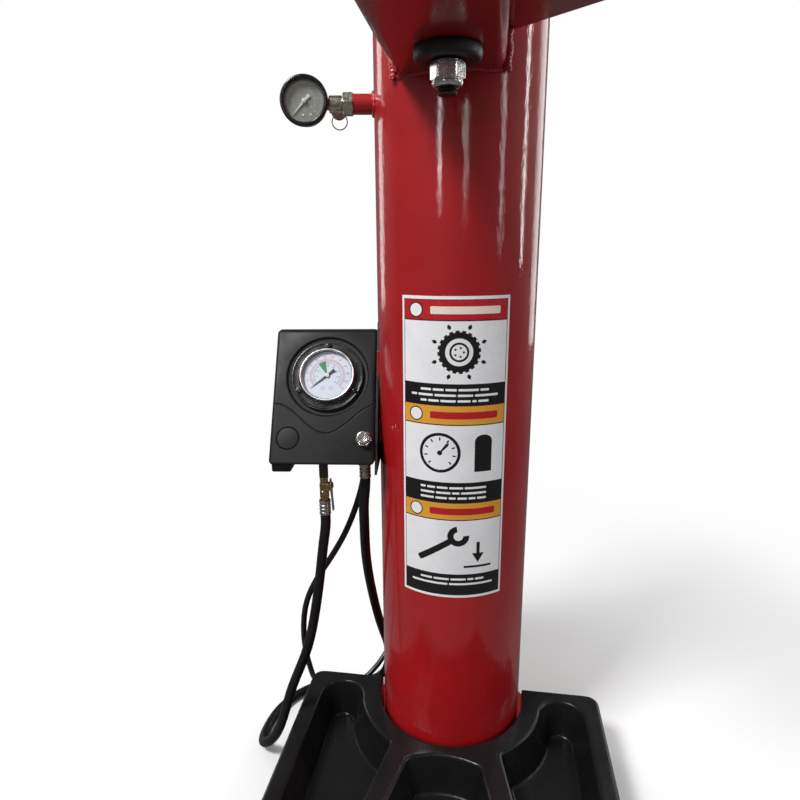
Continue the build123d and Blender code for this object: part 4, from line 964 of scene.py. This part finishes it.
# Top, bottom of the header, bottom of the picture, all down from the label's top, and the rows of dashes below.
PANELS = (
    (3.4, 22.9, 84.2, ((5, 5, 5, 9, 4), (2, 5, 7, 5, 8), (3, 5, 7, 6, 2, 5))),
    (106.1, 125.8, 186.3, ((2, 3, 4, 5, 8), (4, 4, 2, 7), (6, 5, 3, 4, 3, 4))),
    (208.7, 227.7, 289.6, ((4, 5, 5, 2, 3), (5, 6))),
)


def wrap(bm, lift, low_z, step=2.0):
    """Bends a flat drawing (x across, y up, millimetres) round the tank."""
    edge = max(abs(v.co.x) for v in bm.verts)
    x = -edge + step
    while x < edge:
        geometry = bm.verts[:] + bm.edges[:] + bm.faces[:]
        bmesh.ops.bisect_plane(bm, geom=geometry, plane_co=(x, 0, 0), plane_no=(1, 0, 0))
        x += step
    for vertex in bm.verts:
        spot = outward(LABEL_AZIMUTH + degrees(vertex.co.x / TANK_R)) * (TANK_R + lift + vertex.co.z)
        vertex.co = (spot.x, spot.y, low_z + vertex.co.y)
    return bm


def moved(outline, x, y, turn=0.0):
    """Outline turned by an angle in radians, then moved."""
    c, s = cos(turn), sin(turn)
    return [(x + px * c - py * s, y + px * s + py * c) for px, py in outline]


def block(x0, y0, x1, y1, radius=0.0):
    return soften([(x0, y0, radius), (x1, y0, radius), (x1, y1, radius), (x0, y1, radius)])


def ring_cut(x, y, outer, inner, parts=24):
    """Ring drawn as short bands."""
    turn = 360 / parts
    return [moved(band(k * turn, (k + 1) * turn, inner, outer, turn / 2), x, y) for k in range(parts)]


def tread_ring(x, y, outer, inner, lugs=20):
    """Tyre seen from the side: a ring with tread blocks."""
    turn = 360 / lugs
    blocks = [moved(band(k * turn, (k + 0.6) * turn, outer - 1.8, outer, turn / 4), x, y) for k in range(lugs)]
    return ring_cut(x, y, outer - 1.6, inner) + blocks


def arrow(x, y, turn, length, width):
    """Plain arrow from (x, y)."""
    head = min(width, 0.55 * length)
    points = [(0, -width * 0.2), (length - head, -width * 0.2), (length - head, -width / 2), (length, 0),
              (length - head, width / 2), (length - head, width * 0.2), (0, width * 0.2)]
    return moved(points, x, y, turn)


def spanner(x, y, turn, length, jaw):
    """Open-ended spanner: a straight handle and an open jaw."""
    reach = length + jaw * 0.72
    first = degrees(turn) + 66
    bands = [band(first + 22 * k, first + 22 * (k + 1), jaw * 0.42, jaw * 0.95, 11) for k in range(12)]
    head = [moved(piece, x + reach * cos(turn), y + reach * sin(turn)) for piece in bands]
    return [moved(block(0, -jaw * 0.28, length, jaw * 0.28, jaw * 0.2), x, y, turn), *head]


def domed_tank(x, y):
    """Upright tank outline with a domed top."""
    dome = [(x + 9 * cos(pi * k / 12), y + 12 + 7 * sin(pi * k / 12)) for k in range(1, 12)]
    return [(x - 9, y - 20), (x + 9, y - 20), (x + 9, y + 12), *dome, (x - 9, y + 12)]


def dashes(y, left, right, words, height):
    """One line of plain dashes where small print would be."""
    unit = (right - left - DASH_GAP * (len(words) - 1)) / sum(words)
    x = left
    for word in words:
        yield block(x, y, x + word * unit, y + height, height * 0.4)
        x += word * unit + DASH_GAP


def build_label():
    low, high, _ = size("safety_label")
    label_h = high.z - low.z
    inner = radians(LABEL_SPAN / 2) * TANK_R - LABEL_MARGIN
    drawn = []

    def draw(level, material, *outlines):
        drawn.extend((material, (level, outline)) for outline in outlines)

    def wrapped(drawing):
        level, outline = drawing
        own = bmesh.new()
        own.faces.new([own.verts.new((x, y, 0)) for x, y in outline])
        bmesh.ops.triangulate(own, faces=own.faces, ngon_method="EAR_CLIP")
        return wrap(own, PRINT_LIFT + LAYER_LIFT * level, low.z)

    draw(0, film_black, block(-inner - 0.7, 2.9, inner + 0.7, label_h - 3.0, 0.3))
    for k, (top, header, picture, _) in enumerate(PANELS):
        middle = label_h - (top + header) / 2
        draw(1, film_orange if k else film_red, block(-inner, label_h - header + 0.6, inner, label_h - top - 0.3))
        draw(1, film_grey, block(-inner, label_h - picture, inner, label_h - header - 0.5))
        draw(2, film_black, round_patch(-inner + 13, middle, 7.4, 40))
        draw(3, film, round_patch(-inner + 13, middle, 6.2, 40))
        draw(2, film_red if k else film_cream, block(-inner + 28, middle - 3.6, inner - 8, middle + 3.6, 1.4))
    for _, _, picture, rows in PANELS:
        for row, words in enumerate(rows):
            inset = 8 + 5 * ((row * 7 + len(words)) % 3)
            y = label_h - picture - 7.0 - 5.6 * row
            draw(1, film, *dashes(y, -inner + inset, inner - inset, words, 2.3))

    wheel_x, wheel_y = 4, label_h - 53
    draw(2, film_black, *tread_ring(wheel_x, wheel_y, 21, 13.5), *ring_cut(wheel_x, wheel_y, 9.5, 7.5))
    for x, y in round_patch(wheel_x, wheel_y, 4.4, 5):
        draw(2, film_black, round_patch(x, y, 1.1, 12))
    for k in range(8):
        turn = pi / 4 * k + pi / 8
        draw(2, film_black, arrow(wheel_x + 23.5 * cos(turn), wheel_y + 23.5 * sin(turn), turn, 5.5, 4.2))

    dial_x, dial_y = -14, label_h - 155
    draw(2, film_black, *ring_cut(dial_x, dial_y, 21, 18), round_patch(dial_x, dial_y, 2.6, 24))
    for k in range(9):
        draw(2, film_black, moved(bar(225 - 270 * k / 8, 13.0, 16.4, 1.4), dial_x, dial_y))
    draw(2, film_black, arrow(dial_x, dial_y, radians(50), 14.5, 3.2), domed_tank(30, dial_y))

    tool_y = label_h - 258
    draw(2, film_black, *spanner(-36, tool_y - 16, radians(34), 42, 12),
         block(25.2, tool_y - 8, 28.8, tool_y + 5),
         [(20.5, tool_y - 7.5), (33.5, tool_y - 7.5), (27, tool_y - 18)],
         block(12, tool_y - 24, 42, tool_y - 21.5, 0.4))

    drawn.sort(key=lambda shape: shape[1][0])
    printed("safety_label_print", drawn, place((0, 0, 0)), wrapped)


# ---- tray
def build_tray():
    """Moulded tray: the CAD tray's form with every edge drawn soft, as thermoforming leaves it."""
    piece = add_object("moulded_tray", nodes["tool_tray"].data.copy())
    remesh = piece.modifiers.new("remesh", "REMESH")
    remesh.mode = "VOXEL"
    remesh.voxel_size = 1.3 * MM
    smooth = piece.modifiers.new("smooth", "SMOOTH")
    smooth.iterations = 14
    smooth.factor = 0.5
    bpy.context.view_layer.update()
    evaluated = piece.evaluated_get(bpy.context.evaluated_depsgraph_get())
    result = bpy.data.meshes.new_from_object(evaluated)
    piece.modifiers.clear()
    piece.data = result
    piece.data.materials.clear()
    piece.data.materials.append(tray_plastic)
    piece.data.shade_smooth()
    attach(piece, "tank")
    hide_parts("tool_tray")


# ---- finishes of the CAD nodes that stay
FINISHES = {
    red_paint: ("tank_shell", "top_head", "bottom_head", "base_flange", "air_sockets", "arm_bracket", "deck_plate",
                "gauge_nipple"),
    black_paint: ("console_bracket",),
    hose_rubber: ("inflation_hose",),
    rubber: ("park_stub",),
    tube_plastic: ("supply_tube",),
    zinc: ("bolt_washer", "spacer_sleeve", "console_screws", "lever_pin", "chuck_lever", "drain_lever"),
    nylon: ("nut_insert",),
    film: ("safety_label",),
    copper: ("capillary_line",),
    brass: ("safety_valve_stem", "drain_cock", "valve_manifold", "tank_gauge_movement", "console_gauge_movement",
            "tube_fittings"),
    steel: ("drain_pipe",),
    wire_steel: ("pull_ring",),
    clear: ("tank_gauge_lens", "console_gauge_lens"),
    dial_grey: ("tank_gauge_dial",),
    dial_white: ("console_gauge_dial",),
    mark_white: ("tank_gauge_pointer",),
    mark_black: ("console_gauge_pointer",),
    console_plastic: ("console_back_plate",),
}
for finish, members in FINISHES.items():
    for member in members:
        nodes[member].data.materials.clear()
        nodes[member].data.materials.append(finish)

build_welds()
build_bolt()
build_tank_gauge()
build_tee()
build_tank_dial()
build_cover()
build_console_gauge()
build_console_dial()
build_button()
build_hose_ends()
build_label()
build_tray()


# ---- floor, light and camera
WORLD_FILL = 0.40
WORLD_SHINE = 0.11
FLOOR_IN_REFLECTIONS = 0.20
FADE_START, FADE_STOP = 0.28, 1.05
# Name, azimuth, then in metres distance, lower and upper height and width, and power in watts.
LIGHTS = (
    ("key", -44, 1.8, 2.3, 3.0, 0.7, 74),
    ("strip_left", -20, 2.4, 0.8, 1.5, 0.035, 4.2),
    ("strip_front", 13, 2.6, 0.8, 1.4, 0.022, 1.4),
    ("strip_right", 62, 2.2, 0.6, 1.5, 0.045, 2.2),
    ("strip_side", 100, 2.0, 0.5, 1.9, 0.07, 8),
    ("side_left", -125, 2.2, 0.3, 1.9, 0.5, 7),
    ("side_right", 140, 2.0, 0.1, 2.2, 0.8, 10),
)
CAMERA_AT = (0.0378, -0.6505, 0.6218)
CAMERA_YAW, CAMERA_PITCH, CAMERA_ROLL = radians(8.72), radians(14.62), radians(-0.56)


def build_floor():
    """Pale floor that turns plain white away from the object and looks darker in reflections, for deep paint."""
    bm = bmesh.new()
    bmesh.ops.create_circle(bm, cap_ends=True, segments=64, radius=30)
    mesh = bpy.data.meshes.new("floor")
    bm.to_mesh(mesh)
    bm.free()
    pale = surface("floor_pale", (0.93, 0.93, 0.93), (0.90, 0.90, 0.90), (0.7, 0.8), blotch=2)
    mesh.materials.append(pale)
    add_object("floor", mesh)

    tree = pale.node_tree
    seen = node(tree, "LightPath", "Is Camera Ray")
    dim = node(tree, "BsdfDiffuse", "BSDF", Color=(*[FLOOR_IN_REFLECTIONS] * 3, 1))
    blend_shaders(tree, seen, dim, tree.nodes["Principled BSDF"].outputs["BSDF"])
    near = tree.nodes["Material Output"].inputs["Surface"].links[0].from_socket
    away = combine(tree, "LENGTH", node(tree, "TexCoord", "Object"), kind="VectorMath")
    level = remap(tree, seen, 0.10, 1.0, 0, 1)
    white = node(tree, "Emission", "Emission", Strength=level)
    blend_shaders(tree, remap(tree, away, 0, 1, FADE_START, FADE_STOP), near, white)


def build_world():
    """White to the camera, and dimmer in bounced light and in reflections."""
    world = bpy.data.worlds.new("studio")
    world.use_nodes = True
    bpy.context.scene.world = world
    tree = world.node_tree
    unseen = remap(tree, node(tree, "LightPath", "Is Glossy Ray"), WORLD_FILL, WORLD_SHINE, 0, 1)
    strength = remap(tree, node(tree, "LightPath", "Is Camera Ray"), unseen, 1.0, 0, 1)
    background = tree.nodes["Background"]
    connect(tree, strength, background.inputs["Strength"])
    connect(tree, (1, 1, 1, 1), background.inputs["Color"])


def panel_light(name, azimuth, distance, low, high, width, power):
    """Upright soft panel that faces the tank."""
    light = bpy.data.lights.new(name, "AREA")
    light.shape = "RECTANGLE"
    light.size, light.size_y = width, high - low
    light.energy = power
    lamp = add_object(name, light)
    spot = outward(azimuth) * distance + UP * ((low + high) / 2)
    lamp.location = spot
    lamp.rotation_euler = (UP * min(0.5, spot.z) - spot).to_track_quat("-Z", "Y").to_euler()


def build_camera():
    data = bpy.data.cameras.new("camera")
    data.lens = 27
    data.sensor_width = 36
    camera = add_object("camera", data)
    ahead = Vector((-sin(CAMERA_YAW), cos(CAMERA_YAW), 0))
    right = Vector((cos(CAMERA_YAW), sin(CAMERA_YAW), 0))
    look = ahead * cos(CAMERA_PITCH) - UP * sin(CAMERA_PITCH)
    top = UP * cos(CAMERA_PITCH) + ahead * sin(CAMERA_PITCH)
    x = right * cos(CAMERA_ROLL) + top * sin(CAMERA_ROLL)
    y = top * cos(CAMERA_ROLL) - right * sin(CAMERA_ROLL)
    turn = Matrix((x, y, -look)).transposed().to_4x4()
    camera.matrix_world = Matrix.Translation(CAMERA_AT) @ turn
    bpy.context.scene.camera = camera


build_floor()
build_world()
for panel in LIGHTS:
    panel_light(*panel)
build_camera()
bpy.context.scene.view_settings.view_transform = "Standard"
